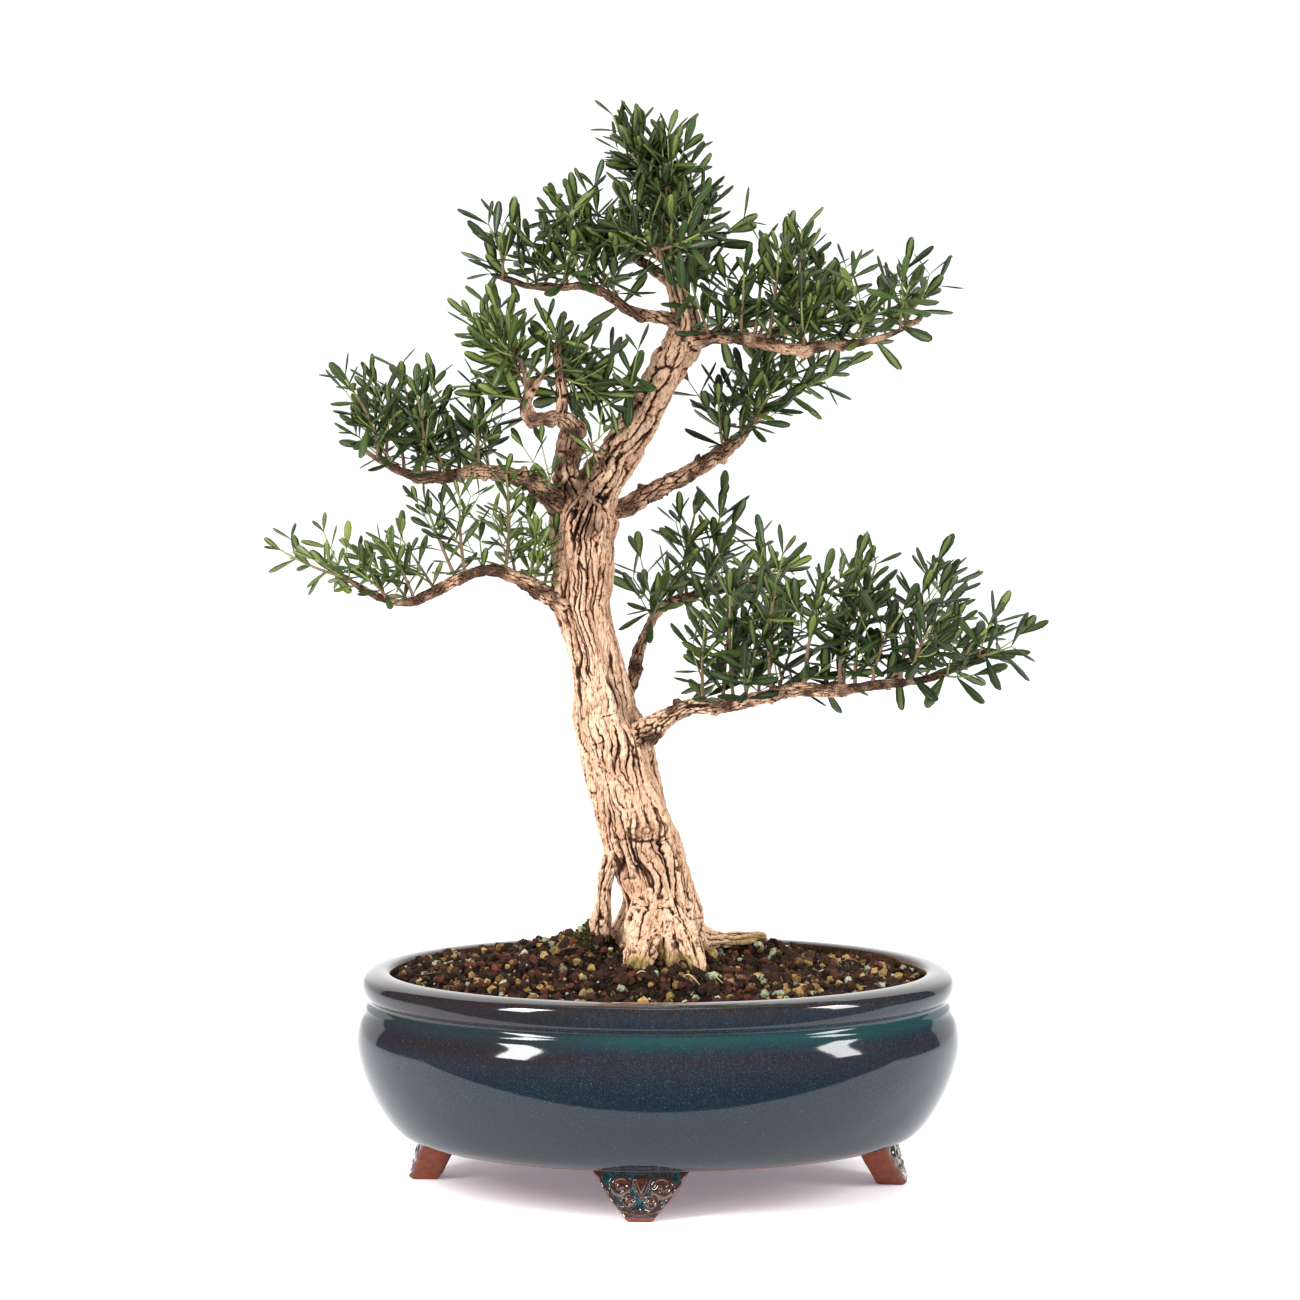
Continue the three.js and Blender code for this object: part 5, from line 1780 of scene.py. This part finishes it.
def grow_pad(name, pad, seed):
    """All shoots of a pad. A main stem first leaves its limb more across than along it."""
    growth = Growth(seed, pad.get("leaf", 1))
    random = growth.random
    middle, _, way, *_ = along_limb(LIMBS[name], PAD_STEPS)
    shoots = max(2, round(pad["count"] * CLUSTERS_PER_SHOOT))
    for number in range(shoots):
        share = np.clip((number + random.uniform(0.1, 0.9)) / shoots, 0, 1) ** pad.get("crowd", 1)
        at = int((PAD_STEPS - 1) * (pad["from"] + (pad["to"] - pad["from"]) * share))
        base, direction = middle[at], way[at]
        tip = shoot_tip(pad, number, share, base, direction, random)
        height = float(np.linalg.norm(tip - base))
        out = unit(tip - base - 0.6 * direction * np.dot(tip - base, direction))
        knee = base + out * KNEE_SHARE * height
        tone = pad.get("tone", 0) + random.uniform(0.1, 0.5)
        thick = min(1.25, 0.5 + height * 0.014)
        growth.stem(base, knee, tip, thick, np.clip(1 - BARE_LENGTH / height, 0.1, 0.3), tone)
        side_stems(growth, base, knee, tip, tone)
    return growth


print("stems in the front of the crown:", len(grow_pad("crown_front", PADS["crown_front"], 1).stems))

# %% [markdown]
# A leaf is dark and glossy above and yellow-green below, with a paler midrib. The pale underside is partly
# the leaf's own colour and partly painted light that shines through the thin blade. Each stem has a tone
# of its own, because young growth is lighter, and its leaves vary a little about it. Stems are green
# where they are thin, and woody at the foot of thick ones.

# %% Finishes of leaves and stems
UPPER_TONES = [
    (0.0, (29, 41, 19)), (0.35, (44, 61, 25)), (0.62, (63, 83, 32)), (0.85, (100, 114, 45)),
    (1.0, (134, 141, 60)),
]
UNDERSIDE_AND_SHINE_THROUGH_TONES = [(0.0, (68, 88, 44)), (1.0, (140, 152, 74))]

leaf = Finish("boxwood_leaf", Specular_IOR_Level=0.38)
across_blade, underside, leaf_tone = (leaf.marks.part(axis) for axis in range(3))
mottle = leaf.place.noise(420, 3)
upper = (leaf_tone + 0.1 * (mottle - 0.5)).ramp(UPPER_TONES)
midrib = across_blade.step(0.12, 0.02) * 0.3
upper = midrib.blend(upper, (112, 132, 76))
# The underside colour is the leaf's own paler green plus painted light shining through the blade.
leaf.feed("Base Color", underside.step(0.45, 0.55).blend(upper, leaf_tone.ramp(UNDERSIDE_AND_SHINE_THROUGH_TONES)))
leaf.feed("Roughness", 0.36 + 0.1 * mottle + 0.2 * underside)
leaf.bump(mottle, 0.0003, 0.25)

green_stem = Finish("green_stem", Roughness=0.6)
along_stem, _, stem_thick = (green_stem.marks.part(axis) for axis in range(3))
woody = (stem_thick * 1.1 - along_stem * 0.9 + 0.3 * green_stem.place.noise(300, 2)).step(0.55, 1.0)
green_stem.feed("Base Color", woody.blend((122, 136, 66), (128, 100, 74)))
print("nodes of leaf and stem:", len(leaf.tree.nodes), len(green_stem.tree.nodes))

# %% [markdown]
# The pads are gathered into six pieces, by the parts of the tree that a gardener would name. Leaves and
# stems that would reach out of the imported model's box are left out, so that the finished plant keeps its
# real size.

# %% Grow the pads
BOX_LOW, BOX_HIGH = (PER_METRE * (np.array(corner) - POT_MIDDLE) for corner in CAD_BOX)
BOX_MARGIN = 1.5
FOLIAGE = {
    "upper_right_leaves": ["upper_right", "upper_right_back"],
    "right_middle_leaves": ["right_middle", "right_back"],
    "right_lower_leaves": ["right_lower", "right_lower_fork"],
    "left_leaves": ["left_lower", "left_upper"],
    "left_leader_leaves": [
        "left_leader", "left_leader_fork", "left_leader_stub", "leader_spur", "fork_sprig", "leader_sprig",
    ],
    "crown_leaves": ["upper_left", "crown_left", "crown_right", "crown_front", "crown_back", "leader"],
}


def within_box(rows, ends):
    """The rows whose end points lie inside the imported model's box."""
    return rows[np.all((ends > BOX_LOW + BOX_MARGIN) & (ends < BOX_HIGH - BOX_MARGIN), -1)]


stems = Heap()
leaf_count = 0
for number, (piece_name, pad_names) in enumerate(FOLIAGE.items()):
    leaves = Heap()
    for name in pad_names:
        growth = grow_pad(name, PADS[name], 100 * number + len(name) + 3)
        rows = np.vstack(growth.leaves)
        rows = within_box(rows, rows[:, :3] + rows[:, 3:6] * rows[:, 9:10])
        leaf_count += len(rows)
        leaves.add(*leaf_mesh(rows))
        stem_rows = np.array(growth.stems)
        stems.add(*stem_mesh(within_box(stem_rows, stem_rows[:, 6:9])))
    nodes = [n for n in SHOOT_NODES for name in pad_names if n.rsplit("_", 1)[0] == f"shoot_{name}"]
    leaves.piece(piece_name, leaf, "foliage", nodes)
stems.piece("leaf_stems", green_stem, "foliage", SHOOT_NODES)
print("leaves:", leaf_count)

# %% [markdown]
# Peat is full of loose fibres, and a few pale rootlets come out of it. They are bent stems without
# leaves: each starts just inside the bed, rises a little at its knee and dips back in. A kind of fibre
# has a count, and its lengths, thicknesses, tones and crowding.

# %% Loose fibres on the soil
FIBRE_SEED = 77
FIBRE_REACH = 140
FIBRE_KINDS = [(150, (5, 15), (0.2, 0.45), (0.0, 0.6), 0.5), (24, (9, 18), (0.35, 0.7), (0.3, 0.8), 0.3)]
FIBRE_RISE = (1, 3)
FIBRE_SUNK = 0.4
ROOTLETS = [
    ((14, -50), (24, -66), 6), ((18, -52), (8, -70), 4),
    ((27, -46), (38, -60), 5), ((-6, -50), (-16, -62), 4),
]
ROOTLET_THICK = 0.5
ROOTLET_TONE = 1.0


def laid_fibre(random, start, end, rise, thick, tone):
    """A row for stem_mesh: both ends in the bed and the knee above it, a little aside."""
    ends = with_height(np.array([start, end]), soil_height(np.array([start, end], float)) - FIBRE_SUNK)
    aside = random.normal(0, 0.2 * np.linalg.norm(ends[1] - ends[0]), 2)
    knee = ends.mean(0) + (*aside, 2 * rise)
    return np.concatenate([ends[0], knee, ends[1], [thick, tone]])


random = np.random.default_rng(FIBRE_SEED)
fibre_rows = []
for count, lengths, thick, tones, crowding in FIBRE_KINDS:
    for start in scattered(random, count, crowding, FIBRE_REACH):
        turned, length = random.uniform(0, 2 * np.pi), random.uniform(*lengths)
        end = start + length * np.array([np.cos(turned), np.sin(turned)])
        rise, thickness, tone = random.uniform(*FIBRE_RISE), random.uniform(*thick), random.uniform(*tones)
        fibre_rows.append(laid_fibre(random, start, end, rise, thickness, tone))
for start, end, rise in ROOTLETS:
    fibre_rows.append(laid_fibre(random, start, end, rise, ROOTLET_THICK, ROOTLET_TONE))
print("fibres and rootlets:", len(fibre_rows))

# %% [markdown]
# Fibres are as brown as the peat or a little lighter, and the rootlets are the palest.

# %% The finish of the fibres
FIBRE_TONES = [(0.0, (34, 22, 16)), (0.5, (84, 56, 38)), (0.8, (136, 98, 66)), (1.0, (206, 178, 138))]

fibre = Finish("peat_fibre", Roughness=0.9)
fibre_tone = fibre.marks.part(1) + 0.3 * (fibre.place.noise(300, 2) - 0.5)
fibre.feed("Base Color", fibre_tone.ramp(FIBRE_TONES))
fibres_on_soil = Heap()
fibres_on_soil.add(*stem_mesh(np.array(fibre_rows)))
fibres_on_soil.piece("soil_fibres", fibre, "earth", ["soil"])

# %% The end
print("the scene is built")
